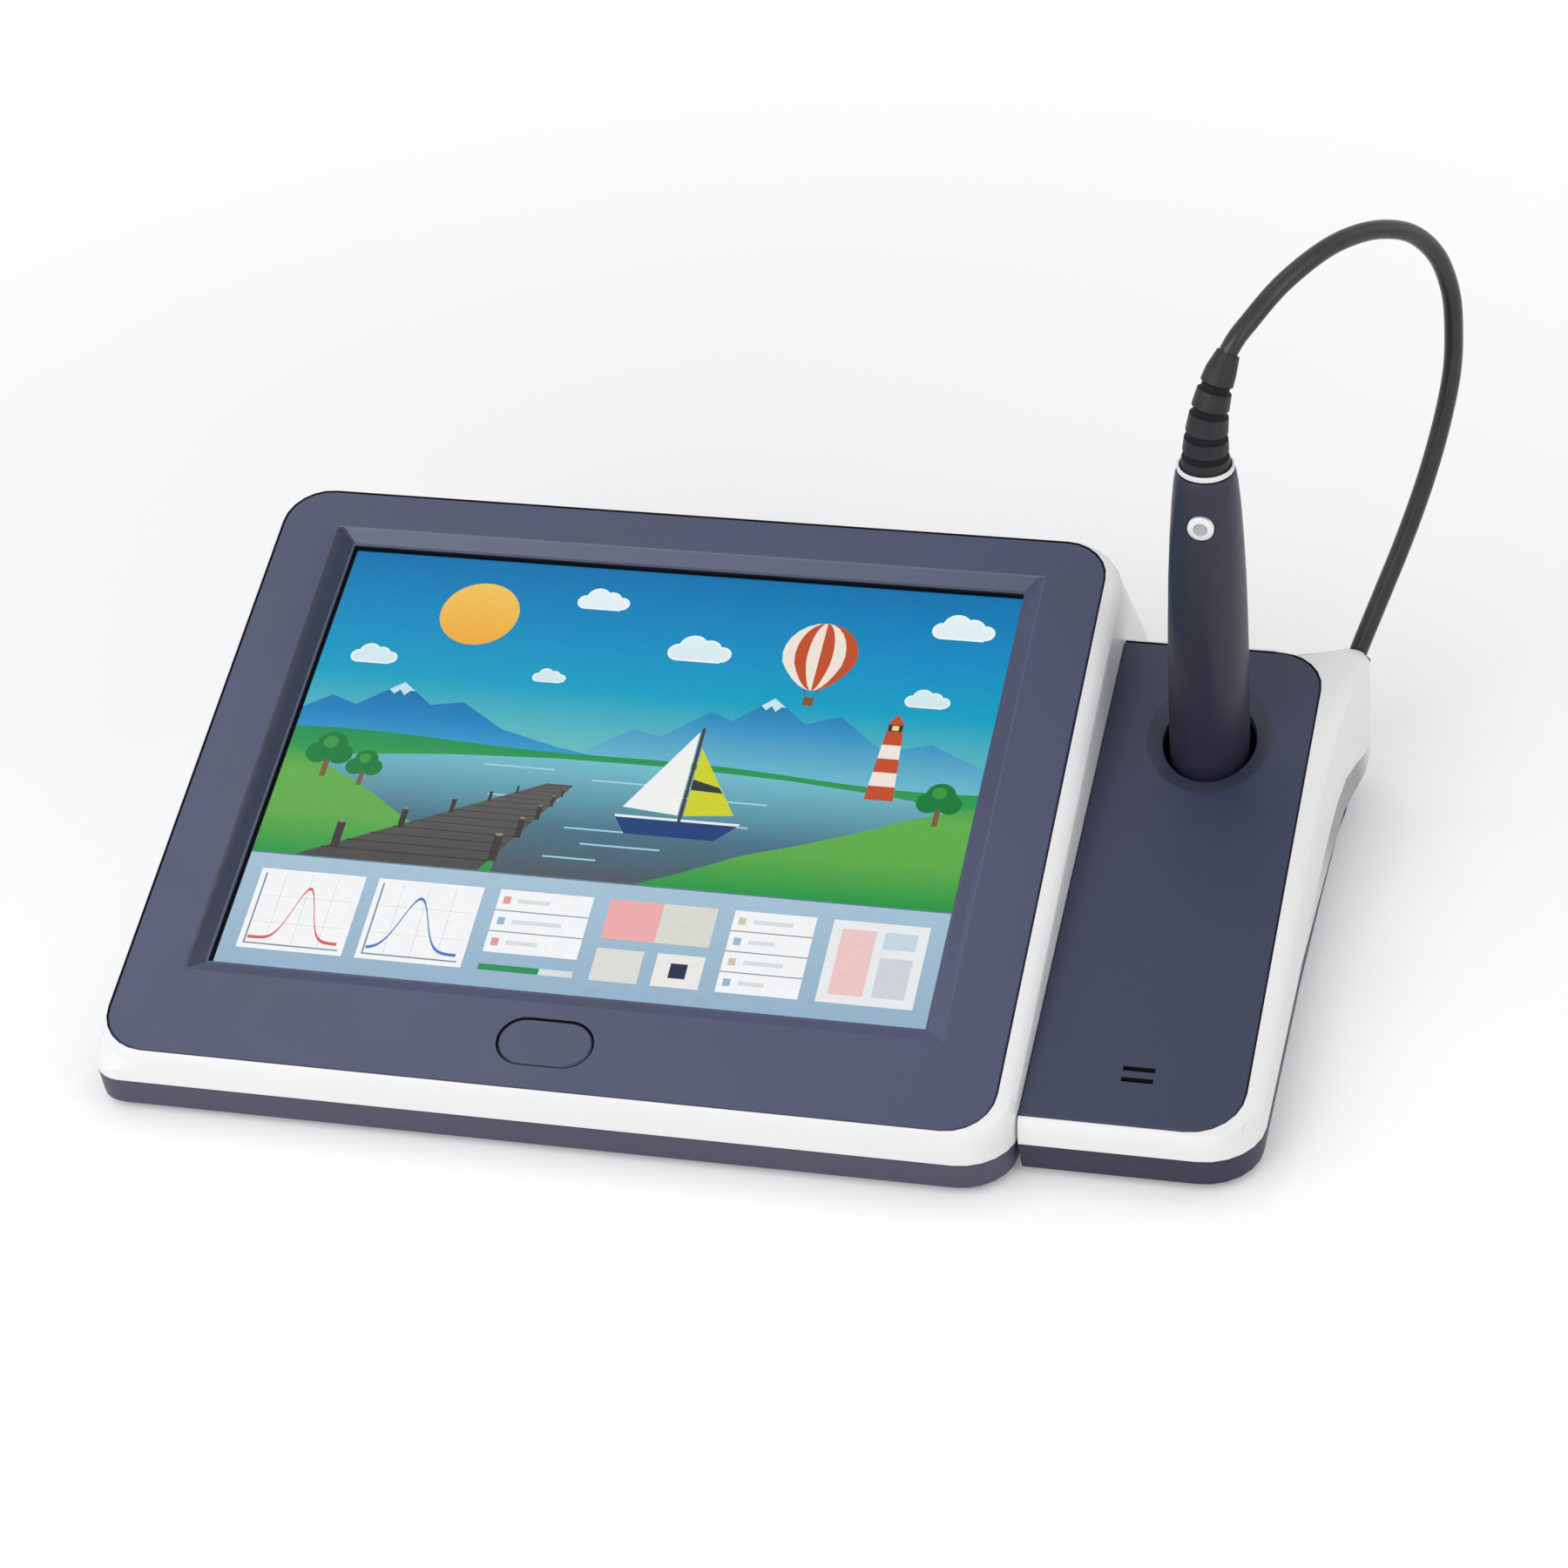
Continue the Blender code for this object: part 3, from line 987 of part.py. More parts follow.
def probe_button():
    """Round dished button in the handle's front, flanged behind the wall, its switch and the board."""
    height = PROBE_BUTTON_HEIGHT - HANDLE_BOTTOM
    surface = handle_halves(height)[1]
    flange_radius = PROBE_BUTTON_RADIUS + PROBE_BUTTON_FLANGE
    across, deep = [half - HANDLE_WALL for half in handle_halves(height + flange_radius)]
    flange_top = deep * math.sqrt(1 - (flange_radius / across) ** 2) - GAP
    flange_foot = flange_top - PROBE_BUTTON_FLANGE_THICKNESS
    dome = surface + PROBE_BUTTON_PROUD
    dish = dome - PROBE_BUTTON_DISH_DEPTH
    profile = [(0.0, dish), (PROBE_BUTTON_DISH_RADIUS - PROBE_BUTTON_DISH_DEPTH, dish),
               (PROBE_BUTTON_DISH_RADIUS, dome),
               (PROBE_BUTTON_RADIUS - PROBE_BUTTON_PROUD, dome - PROBE_BUTTON_PROUD / 4),
               (PROBE_BUTTON_RADIUS, dome - PROBE_BUTTON_PROUD), (PROBE_BUTTON_RADIUS, flange_top),
               (flange_radius, flange_top), (flange_radius, flange_foot), (0.0, flange_foot)]
    turned("probe_button", profile, PROBE, WHITE, (0.0, 0.0, height), (QUARTER_TURN, 0.0, 0.0),
           steps=MEDIUM_ROUND_STEPS)
    switch_front = flange_foot - PROBE_BUTTON_TRAVEL - GAP
    half = PROBE_SWITCH_SIZE / 2
    board_front = switch_front - PROBE_SWITCH_HEIGHT - GAP
    box("probe_switch", (-half, -switch_front, height - half),
        (half, PROBE_SWITCH_HEIGHT - switch_front, height + half), PROBE, DARK_PLASTIC)
    top = HANDLE_HEIGHT - HANDLE_BOTTOM - NOSE_CHAMFER * 2
    board_half = HANDLE_TOP_RADIUS - HANDLE_WALL - GAP * 2
    back = -board_front + BOARD_THICKNESS
    box("probe_board", (-board_half, -board_front, top - PROBE_BOARD_LENGTH), (board_half, back, top),
        PROBE, BOARD)
    sensors = (("probe_receiver", RECEIVER_RADIUS, RECEIVER_LENGTH),
               ("probe_microphone", MICROPHONE_RADIUS, MICROPHONE_LENGTH))
    for step, (name, radius, length) in enumerate(sensors):
        cylinder(name, radius, length, PROBE, STEEL,
                 (0.0, back + GAP + length, top - PROBE_BOARD_LENGTH + (step + 1) * SENSOR_STEP),
                 (QUARTER_TURN, 0.0, 0.0), SCREW_STEPS)


def probe_nose():
    """Nose plugged into the handle's foot and the tip under it that carries the ear tips."""
    swell = HANDLE_SHARES[0][1]
    plug = HANDLE_TOP_RADIUS + (HANDLE_HALF_WIDTH - HANDLE_TOP_RADIUS) * swell - HANDLE_WALL - GAP
    bottom = NOSE_BOTTOM - HANDLE_BOTTOM
    profile = [(0.0, NOSE_PLUG_LENGTH), (plug, NOSE_PLUG_LENGTH), (plug, 0.0), (NOSE_RADIUS, 0.0),
               (NOSE_RADIUS, bottom + NOSE_CHAMFER), (NOSE_RADIUS - NOSE_CHAMFER, bottom), (0.0, bottom)]
    turned("probe_nose", profile, PROBE, SLATE, steps=MEDIUM_ROUND_STEPS)
    tip_top = bottom - GAP
    tip_bottom = BASE_FLOOR + GAP + WELL_FLOOR + GAP - HANDLE_BOTTOM
    ring = [(TIP_RADIUS, tip_top), (TIP_RADIUS, tip_bottom + (tip_top - tip_bottom) / 2),
            (TIP_RADIUS * 2 / 3, tip_bottom), (TIP_BORE_RADIUS, tip_bottom), (TIP_BORE_RADIUS, tip_top)]
    turned("probe_tip", ring, PROBE, DARK_PLASTIC, ring=True)


def collar():
    """White ring between the handle and the bend protector."""
    foot = HANDLE_HEIGHT - HANDLE_BOTTOM + GAP
    inner = RELIEF_FOOT_RADIUS + GAP
    edge = GAP
    ring = [(COLLAR_RADIUS - edge, foot + COLLAR_HEIGHT), (COLLAR_RADIUS, foot + COLLAR_HEIGHT - edge),
            (COLLAR_RADIUS, foot + edge), (COLLAR_RADIUS - edge, foot), (inner, foot),
            (inner, foot + COLLAR_HEIGHT)]
    turned("probe_collar", ring, PROBE, WHITE, ring=True, steps=ROUND_STEPS)


def outlet_direction():
    """Plan direction from the probe's axis to the cable's outlet."""
    return Vector((GLAND_X - WELL_X, GLAND_Y - WELL_Y, 0.0)).normalized()


def relief_spine(share):
    """Middle and direction of the bend protector, upright at its foot and leaning over at its tip."""
    away = outlet_direction()
    lean = RELIEF_LEAN * share ** RELIEF_BEND
    point = away * lean + Vector((0.0, 0.0, RELIEF_LENGTH * share))
    slope = RELIEF_BEND * RELIEF_LEAN * share ** (RELIEF_BEND - 1)
    return point, (away * slope + Vector((0.0, 0.0, RELIEF_LENGTH))).normalized()


def bend_protector():
    """Tapering rubber sleeve in segments with grooves between them, round the end of the cable."""
    foot = HANDLE_HEIGHT - HANDLE_BOTTOM + GAP
    across = Vector((0.0, 0.0, 1.0)).cross(outlet_direction())
    half = RELIEF_GROOVE_WIDTH / RELIEF_LENGTH / 2
    stations = [(0.0, 0.0)]
    for middle in RELIEF_GROOVE_SHARES:
        for offset, sunk in ((-2, 0.0), (-1, RELIEF_GROOVE), (1, RELIEF_GROOVE), (2, 0.0)):
            stations.append((middle + offset * half, sunk))
    stations += [(RELIEF_NECK_SHARE, 0.0), (1.0, 0.0)]
    profile = ((0.0, RELIEF_FOOT_RADIUS), (RELIEF_NECK_SHARE, RELIEF_NECK_RADIUS), (1.0, RELIEF_TIP_RADIUS))
    rings = []
    circle = ellipse(1.0, 1.0, MEDIUM_ROUND_STEPS)
    for share, sunk in stations:
        point, along = relief_spine(share)
        radius = between(profile, share) - sunk
        side = across.cross(along)
        rings.append([point + radius * (across * x + side * y) for x, y in circle])
    sleeve = loft("bend_protector", rings, PROBE, BLACK, (0.0, 0.0, foot))
    tip, along = relief_spine(1.0)
    bore = [tip + along * reach + (CABLE_RADIUS + GAP) * (across * x + across.cross(along) * y)
            for reach in (-RELIEF_BORE_DEPTH, OVERRUN) for x, y in ellipse(1.0, 1.0, BOSS_STEPS)]
    cut(sleeve, loft("bend_protector_bore", [bore[:BOSS_STEPS], bore[BOSS_STEPS:]], PROBE, None,
                     (0.0, 0.0, foot)))


def gland_axis():
    """Top point and upward direction of the cable's gland."""
    along = outlet_direction() * math.sin(GLAND_LEAN) + Vector((0.0, 0.0, math.cos(GLAND_LEAN)))
    return Vector((GLAND_X, GLAND_Y, GLAND_TOP)), along


def gland_turn():
    """Rotation that points Z along the gland's axis."""
    return tuple(gland_axis()[1].to_track_quat("Z", "Y").to_euler())


def cable_gland(shell):
    """Rubber bush in the back of the flared corner, where the cable leaves the housing."""
    top, along = gland_axis()
    foot = top - along * GLAND_LENGTH
    for name, radius, reach in (("gland_hole", GLAND_RADIUS + GAP, GAP),
                                ("cable_hole", CABLE_RADIUS + 2 * GAP, CABLE_HOLE_REACH)):
        cut(shell, cylinder(name, radius, GLAND_LENGTH + reach, ROOT, None, foot, gland_turn(),
                            MEDIUM_ROUND_STEPS))
    radius = GLAND_RADIUS
    profile = [(0.0, GLAND_LENGTH - GAP), (CABLE_RADIUS, GLAND_LENGTH - GAP), (CABLE_RADIUS, GLAND_LENGTH),
               (radius, GLAND_LENGTH), (radius, 0.0), (0.0, 0.0)]
    turned("cable_gland", profile, ROOT, BLACK, foot, gland_turn(), steps=MEDIUM_ROUND_STEPS)


def smooth_path(points, step):
    """Points at even steps along a smooth curve through the given ones."""
    padded = [2 * points[0] - points[1], *points, 2 * points[-1] - points[-2]]
    fine = []
    for before, start, end, after in zip(padded, padded[1:], padded[2:], padded[3:]):
        for part in range(CURVE_STEPS):
            t = part / CURVE_STEPS
            bend = 2 * before - 5 * start + 4 * end - after
            twist = 3 * start - before - 3 * end + after
            fine.append((2 * start + (end - before) * t + bend * t ** 2 + twist * t ** 3) / 2)
    fine.append(points[-1])
    lengths = [0.0]
    for start, end in zip(fine, fine[1:]):
        lengths.append(lengths[-1] + (end - start).length)
    count = max(2, round(lengths[-1] / step))
    path = []
    here = 0
    for number in range(count + 1):
        target = lengths[-1] * number / count
        while here < len(fine) - 2 and lengths[here + 1] < target:
            here += 1
        share = (target - lengths[here]) / (lengths[here + 1] - lengths[here])
        path.append(fine[here].lerp(fine[here + 1], share))
    return path


def tube(name, path, radius, parent, surface, resolution):
    """A round tube along a path with flat ends."""
    curve = bpy.data.curves.new(name, "CURVE")
    curve.dimensions = "3D"
    curve.bevel_depth = radius
    curve.bevel_resolution = resolution
    curve.use_fill_caps = True
    spline = curve.splines.new("POLY")
    spline.points.add(len(path) - 1)
    for point, place in zip(spline.points, path):
        point.co = (*place, 1.0)
    made = bpy.data.objects.new(name, curve)
    PARTS.objects.link(made)
    made.parent = parent
    curve.materials.append(surface)
    return made


def probe_cable():
    """Cable from the bend protector over to the gland, in the upright plane through both."""
    away = outlet_direction()
    axis = Vector((WELL_X, WELL_Y, 0.0))
    tip, along = relief_spine(1.0)
    start = axis + tip + Vector((0.0, 0.0, HANDLE_HEIGHT + GAP))
    top, out = gland_axis()
    points = [start - along * (RELIEF_BORE_DEPTH - GAP), start + along * CABLE_ENDS_STRAIGHT / 2]
    points += [axis + away * reach + Vector((0.0, 0.0, height)) for reach, height in CABLE_ROUTE]
    points += [top + out * CABLE_ENDS_STRAIGHT, top + out * GAP]
    tube("probe_cable", smooth_path(points, CABLE_STEP), CABLE_RADIUS, ROOT, BLACK, CABLE_RESOLUTION)


def board_on(name, left, front, length, width, height):
    """A circuit board at a height."""
    high = (left + length, front + width, height + BOARD_THICKNESS)
    return box(name, (left, front, height), high, ROOT, BOARD)


def main_boards(covers):
    """Main board with its shield, pressure sensor block and plug, and the side board, joined by a ribbon."""
    places = board_bosses(MAIN_BOARD_LEFT, MAIN_BOARD_FRONT, MAIN_BOARD_LENGTH, MAIN_BOARD_WIDTH)
    add_bosses(covers["main"], "main_board", places, MAIN_BOARD_HEIGHT - GAP)
    board_on("main_board", MAIN_BOARD_LEFT, MAIN_BOARD_FRONT, MAIN_BOARD_LENGTH, MAIN_BOARD_WIDTH,
             MAIN_BOARD_HEIGHT)
    top = MAIN_BOARD_HEIGHT + BOARD_THICKNESS + GAP
    middle_x = MAIN_BOARD_LEFT + MAIN_BOARD_LENGTH / 2
    middle_y = MAIN_BOARD_FRONT + MAIN_BOARD_WIDTH / 2
    box("processor_shield", (middle_x - SHIELD_LENGTH / 2, middle_y - SHIELD_WIDTH / 2, top),
        (middle_x + SHIELD_LENGTH / 2, middle_y + SHIELD_WIDTH / 2, top + SHIELD_HEIGHT), ROOT, STEEL)
    rear = MAIN_BOARD_FRONT + MAIN_BOARD_WIDTH - BOARD_BOSS_INSET
    left = MAIN_BOARD_LEFT + BOARD_BOSS_INSET
    box("pressure_sensor_block", (left, rear - PRESSURE_WIDTH, top),
        (left + PRESSURE_LENGTH, rear, top + PRESSURE_HEIGHT), ROOT, DARK_PLASTIC)

    side_left = SIDE_LEFT + SIDE_BOARD_INSET
    side_front = RIBBON_Y - SIDE_BOARD_WIDTH / 2
    places = board_bosses(side_left, side_front, SIDE_BOARD_LENGTH, SIDE_BOARD_WIDTH)
    add_bosses(covers["side"], "side_board", places, MAIN_BOARD_HEIGHT - GAP)
    board_on("side_board", side_left, side_front, SIDE_BOARD_LENGTH, SIDE_BOARD_WIDTH, MAIN_BOARD_HEIGHT)
    plug_main = MAIN_BOARD_LEFT + MAIN_BOARD_LENGTH - PLUG_LENGTH
    for name, x in (("ribbon_plug_main", plug_main), ("ribbon_plug_side", side_left)):
        box(name, (x, RIBBON_Y - PLUG_WIDTH / 2, top),
            (x + PLUG_LENGTH, RIBBON_Y + PLUG_WIDTH / 2, top + PLUG_HEIGHT), ROOT, DARK_PLASTIC)
    bottom = top + PLUG_HEIGHT + GAP
    box("ribbon_cable", (plug_main, RIBBON_Y - RIBBON_WIDTH / 2, bottom),
        (side_left + PLUG_LENGTH, RIBBON_Y + RIBBON_WIDTH / 2, bottom + RIBBON_THICKNESS), ROOT, DARK_PLASTIC)
    return bottom


def ribbon_windows(shells, bottom):
    """Window for the ribbon through the two walls that stand side by side."""
    half = RIBBON_WIDTH / 2 + RIBBON_WINDOW
    low = SIDE_LEFT - SHELL_WALL - OVERRUN
    high = SIDE_LEFT + SHELL_WALL + OVERRUN
    window = box("ribbon_window", (low, RIBBON_Y - half, bottom - RIBBON_WINDOW),
                 (high, RIBBON_Y + half, bottom + RIBBON_THICKNESS + RIBBON_WINDOW), ROOT, None)
    for shell in shells:
        cut(shell, window)


def socket_body(name, x, width, height, shell):
    """Block of a socket in the rear wall, with its opening in the wall, on the power board."""
    foot = POWER_BOARD_HEIGHT + BOARD_THICKNESS + GAP
    rear = MAIN_DEPTH - SOCKET_REVEAL
    body = box(name, (x - width / 2, rear - SOCKET_DEPTH, foot), (x + width / 2, rear, foot + height), ROOT,
               DARK_PLASTIC)
    clear = SOCKET_CLEARANCE
    cut(shell, box(name + "_opening", (x - width / 2 - clear, rear - SHELL_WALL - OVERRUN, foot - clear),
                   (x + width / 2 + clear, rear + OVERRUN, foot + height + clear), ROOT, None))
    return body, foot, rear


def power_inlet(x, shell):
    """Power inlet: a blind bore with its pin."""
    body, foot, rear = socket_body("power_inlet", x, JACK_WIDTH, JACK_HEIGHT, shell)
    middle = foot + JACK_HEIGHT / 2
    turn = (QUARTER_TURN, 0.0, 0.0)
    cut(body, cylinder("power_inlet_bore", JACK_BORE_RADIUS, JACK_BORE_DEPTH + OVERRUN, ROOT, None,
                       (x, rear + OVERRUN, middle), turn))
    cut(body, cylinder("power_inlet_pin", JACK_PIN_RADIUS, JACK_BORE_DEPTH, ROOT, None,
                       (x, rear - JACK_PIN_RADIUS, middle), turn, BOSS_STEPS), "UNION")


def usb_socket(name, x, width, height, shell):
    """Data socket: a metal mouth with a tongue in it."""
    body, foot, rear = socket_body(name, x, width, height, shell)
    half = width / 2 - USB_SHELL
    cut(body, box(name + "_mouth", (x - half, rear - USB_DEPTH, foot + USB_SHELL),
                  (x + half, rear + OVERRUN, foot + height - USB_SHELL), ROOT, None))
    middle = foot + height / 2
    thick = (height - 2 * USB_SHELL) * USB_TONGUE_SHARE / 2
    narrow = half - USB_SHELL * 2
    cut(body, box(name + "_tongue", (x - narrow, rear - USB_DEPTH - USB_SHELL, middle - thick),
                  (x + narrow, rear - USB_TONGUE_BACK, middle + thick), ROOT, None), "UNION")


def power_board(covers, shell):
    """Board at the back that carries the power inlet and two data sockets."""
    front = MAIN_DEPTH - POWER_BOARD_REAR - POWER_BOARD_WIDTH
    places = board_bosses(POWER_BOARD_LEFT, front, POWER_BOARD_LENGTH, POWER_BOARD_WIDTH)
    add_bosses(covers["main"], "power_board", places, POWER_BOARD_HEIGHT - GAP)
    board_on("power_board", POWER_BOARD_LEFT, front, POWER_BOARD_LENGTH, POWER_BOARD_WIDTH,
             POWER_BOARD_HEIGHT)
    first = POWER_BOARD_LEFT + SOCKET_FIRST
    power_inlet(first, shell)
    usb_socket("data_socket_b", first + SOCKET_PITCH, USB_B_WIDTH, USB_B_HEIGHT, shell)
    usb_socket("data_socket_a", first + 2 * SOCKET_PITCH, USB_A_WIDTH, USB_A_HEIGHT, shell)


def air_pump():
    """Air pump and motor lying in a saddle on the main bottom cover, and the tube to the sensor block."""
    y = MAIN_DEPTH - PUMP_REAR
    floor = BASE_FLOOR + GAP
    axis = floor + BRACKET_PLATE + GAP + PUMP_RADIUS
    turn = (0.0, QUARTER_TURN, 0.0)
    cylinder("air_pump", PUMP_RADIUS, PUMP_LENGTH, ROOT, STEEL, (PUMP_X, y, axis), turn, MEDIUM_ROUND_STEPS)
    motor_x = PUMP_X + PUMP_LENGTH + GAP
    cylinder("pump_motor", MOTOR_RADIUS, MOTOR_LENGTH, ROOT, DARK_PLASTIC, (motor_x, y, axis), turn,
             MEDIUM_ROUND_STEPS)
    left = PUMP_X - BRACKET_MARGIN
    right = motor_x + MOTOR_LENGTH + BRACKET_MARGIN
    saddle = box("pump_saddle", (left, y - PUMP_SADDLE_HALF, floor),
                 (right, y + PUMP_SADDLE_HALF, floor + BRACKET_HEIGHT), ROOT, STEEL)
    middle = PUMP_X + PUMP_LENGTH + GAP / 2
    cut(saddle, cylinder("pump_trough", PUMP_RADIUS + GAP, middle - left + OVERRUN, ROOT, None,
                         (left - OVERRUN, y, axis), turn, MEDIUM_ROUND_STEPS))
    cut(saddle, cylinder("motor_trough", MOTOR_RADIUS + GAP, right - middle + 2 * OVERRUN, ROOT, None,
                         (middle - OVERRUN, y, axis), turn, MEDIUM_ROUND_STEPS))
    start = Vector((PUMP_X + PUMP_LENGTH / 2, y, axis + PUMP_RADIUS + GAP))
    block_top = MAIN_BOARD_HEIGHT + BOARD_THICKNESS + GAP + PRESSURE_HEIGHT + GAP
    end = Vector((MAIN_BOARD_LEFT + BOARD_BOSS_INSET + PRESSURE_LENGTH / 2,
                  MAIN_BOARD_FRONT + MAIN_BOARD_WIDTH - BOARD_BOSS_INSET - PRESSURE_WIDTH / 2, block_top))
    up = Vector((0.0, 0.0, 1.0))
    crest = start.lerp(end, 0.5)
    crest.z = max(start.z, end.z) + TUBE_RISE
    route = [start + up * TUBE_RADIUS, start + up * TUBE_RADIUS * 2, crest, end + up * TUBE_RADIUS * 2,
             end + up * TUBE_RADIUS]
    path = [start, *smooth_path(route, (start - end).length / TUBE_POINTS), end]
    tube("air_tube", path, TUBE_RADIUS, ROOT, CLEAR_TUBE, TUBE_RESOLUTION)


def housings():
    """The two housings with their covers, screws, feet and what they hold."""
    main = main_shell()
    side = side_shell()
    covers = {"main": tray("main_base", main_plan, SLATE), "side": tray("side_base", side_base_plan, SLATE)}
    bezel()
    display_stack()
    front_button()
    side_cover()
    loudspeaker()
    probe_well()
    rubber_feet(covers)
    ribbon_windows((main, side), main_boards(covers))
    power_board(covers, main)
    for label, x, y in main_screws():
        add_screw_fit(covers["main"], main, label, x, y)
        case_screw(label, x, y)
    for label, x, y in side_screws():
        add_screw_fit(covers["side"], side, label, x, y)
        case_screw(label, x, y)
    air_pump()
    cable_gland(side)


def hand_probe():
    """The probe that stands in the well, and its cable."""
    probe_handle()
    probe_button()
    probe_nose()
    collar()
    bend_protector()
    probe_cable()


housings()
hand_probe()
bpy.context.view_layer.update()
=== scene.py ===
"""Looks of the desktop tympanometer: materials, screen picture, cable, lights and camera."""

import math

import bmesh
import bpy
from mathutils import Matrix, Vector
from mathutils.geometry import delaunay_2d_cdt


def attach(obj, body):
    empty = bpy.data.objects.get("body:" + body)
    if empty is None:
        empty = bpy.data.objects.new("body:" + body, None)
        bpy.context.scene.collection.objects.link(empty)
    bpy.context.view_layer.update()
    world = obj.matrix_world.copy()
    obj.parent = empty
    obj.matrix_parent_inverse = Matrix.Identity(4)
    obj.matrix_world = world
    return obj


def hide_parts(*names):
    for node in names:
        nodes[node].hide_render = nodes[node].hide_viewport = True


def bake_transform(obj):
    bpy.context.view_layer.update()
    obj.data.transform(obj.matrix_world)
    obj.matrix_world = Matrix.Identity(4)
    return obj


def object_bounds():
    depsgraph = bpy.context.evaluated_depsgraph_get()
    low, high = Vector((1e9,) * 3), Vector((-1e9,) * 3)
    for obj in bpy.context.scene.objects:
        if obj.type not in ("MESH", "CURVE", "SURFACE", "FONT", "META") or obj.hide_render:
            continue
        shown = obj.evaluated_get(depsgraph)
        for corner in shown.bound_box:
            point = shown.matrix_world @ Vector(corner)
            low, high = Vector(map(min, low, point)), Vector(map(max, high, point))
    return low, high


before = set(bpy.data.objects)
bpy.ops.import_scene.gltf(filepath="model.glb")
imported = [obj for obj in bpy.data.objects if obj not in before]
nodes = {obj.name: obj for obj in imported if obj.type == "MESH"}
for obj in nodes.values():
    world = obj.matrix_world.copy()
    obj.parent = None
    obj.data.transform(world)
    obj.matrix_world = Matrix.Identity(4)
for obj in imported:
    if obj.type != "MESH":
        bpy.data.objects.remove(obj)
cad_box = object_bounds()
scene = bpy.context.scene
MM = 0.001

# ---------------------------------------------------------------- camera, fitted to the photograph

camera_data = bpy.data.cameras.new("photo_camera")
camera_data.lens = 99.84
camera_data.sensor_width = 36.0
camera_data.clip_start = 0.01
camera = bpy.data.objects.new("photo_camera", camera_data)
scene.collection.objects.link(camera)
camera.matrix_world = Matrix((
    (0.9712769, -0.0811802, 0.2236758, 0.294168),
    (0.2272055, 0.5956984, -0.7704032, -0.988241),
    (-0.0707018, 0.7990952, 0.5970327, 0.807977),
    (0.0, 0.0, 0.0, 1.0)))
scene.camera = camera
scene.view_settings.view_transform = "Standard"


# ---------------------------------------------------------------- small helpers

def linear(red, green, blue):
    """Linear colour of a colour given in 0 to 255 screen values."""
    out = []
    for value in (red, green, blue):
        share = value / 255.0
        out.append(share / 12.92 if share <= 0.04045 else ((share + 0.055) / 1.055) ** 2.4)
    return tuple(out)


def mix(first, second, share):
    """The colour that lies the given share of the way from the first to the second."""
    share = max(0.0, min(1.0, share))
    return tuple(a + (b - a) * share for a, b in zip(first, second))


# the screen: its size in millimetres, its slope and its front left corner in the shared frame
SCREEN_WIDE = 211.2
SCREEN_HIGH = 161.6
TILT = math.radians(15.0) - 0.014653
DISPLAY_AT = (-0.1431, -0.091121, 0.031117)
display = Matrix.Translation(DISPLAY_AT) @ Matrix.Rotation(TILT, 4, "X")


class Tree:
    """A node material with the few nodes that the surfaces here use."""

    def __init__(self, name):
        self.material = bpy.data.materials.new(name)
        self.material.use_nodes = True
        self.nodes = self.material.node_tree.nodes
        self.links = self.material.node_tree.links
        self.shader = self.nodes["Principled BSDF"]
        self.place = self.add("ShaderNodeTexCoord").outputs["Object"]

    def add(self, kind, **settings):
        node = self.nodes.new(kind)
        for key, value in settings.items():
            setattr(node, key, value)
        return node

    def noise(self, scale, detail=2.0, stretch=None, rough=0.5):
        source = self.place
        if stretch is not None:
            mapping = self.add("ShaderNodeMapping")
            mapping.inputs["Scale"].default_value = stretch
            self.links.new(self.place, mapping.inputs["Vector"])
            source = mapping.outputs["Vector"]
        node = self.add("ShaderNodeTexNoise")
        node.inputs["Scale"].default_value = scale
        node.inputs["Detail"].default_value = detail
        node.inputs["Roughness"].default_value = rough
        self.links.new(source, node.inputs["Vector"])
        return node.outputs["Fac"]

    def ramp(self, factor, stops):
        node = self.add("ShaderNodeValToRGB")
        band = node.color_ramp
        while len(band.elements) < len(stops):
            band.elements.new(0.5)
        for element, (position, colour) in zip(band.elements, stops):
            element.position = position
            element.color = (*colour, 1.0)
        self.links.new(factor, node.inputs["Fac"])
        return node.outputs["Color"]

    def spread(self, factor, low, high, start=0.3, end=0.7):
        node = self.add("ShaderNodeMapRange")
        node.inputs["From Min"].default_value = start
        node.inputs["From Max"].default_value = end
        node.inputs["To Min"].default_value = low
        node.inputs["To Max"].default_value = high
        self.links.new(factor, node.inputs["Value"])
        return node.outputs["Result"]

    def bump(self, height, strength, distance, normal=None):
        node = self.add("ShaderNodeBump")
        node.inputs["Strength"].default_value = strength
        node.inputs["Distance"].default_value = distance
        self.links.new(height, node.inputs["Height"])
        if normal is not None:
            self.links.new(normal, node.inputs["Normal"])
        return node.outputs["Normal"]

    def times(self, first, second):
        """The product of an output and either another output or a plain number."""
        node = self.add("ShaderNodeMath", operation="MULTIPLY")
        self.links.new(first, node.inputs[0])
        if isinstance(second, float):
            node.inputs[1].default_value = second
        else:
            self.links.new(second, node.inputs[1])
        return node.outputs["Value"]

    def rounded(self, radius):
        node = self.add("ShaderNodeBevel")
        node.samples = 6
        node.inputs["Radius"].default_value = radius
        return node.outputs["Normal"]

    def set(self, socket, value):
        self.shader.inputs[socket].default_value = value

    def link(self, output, socket):
        self.links.new(output, self.shader.inputs[socket])


GRAIN_SCALE = 1500.0
GRAIN_HEIGHT = 0.00006
EDGE_RADIUS = 0.35 * MM


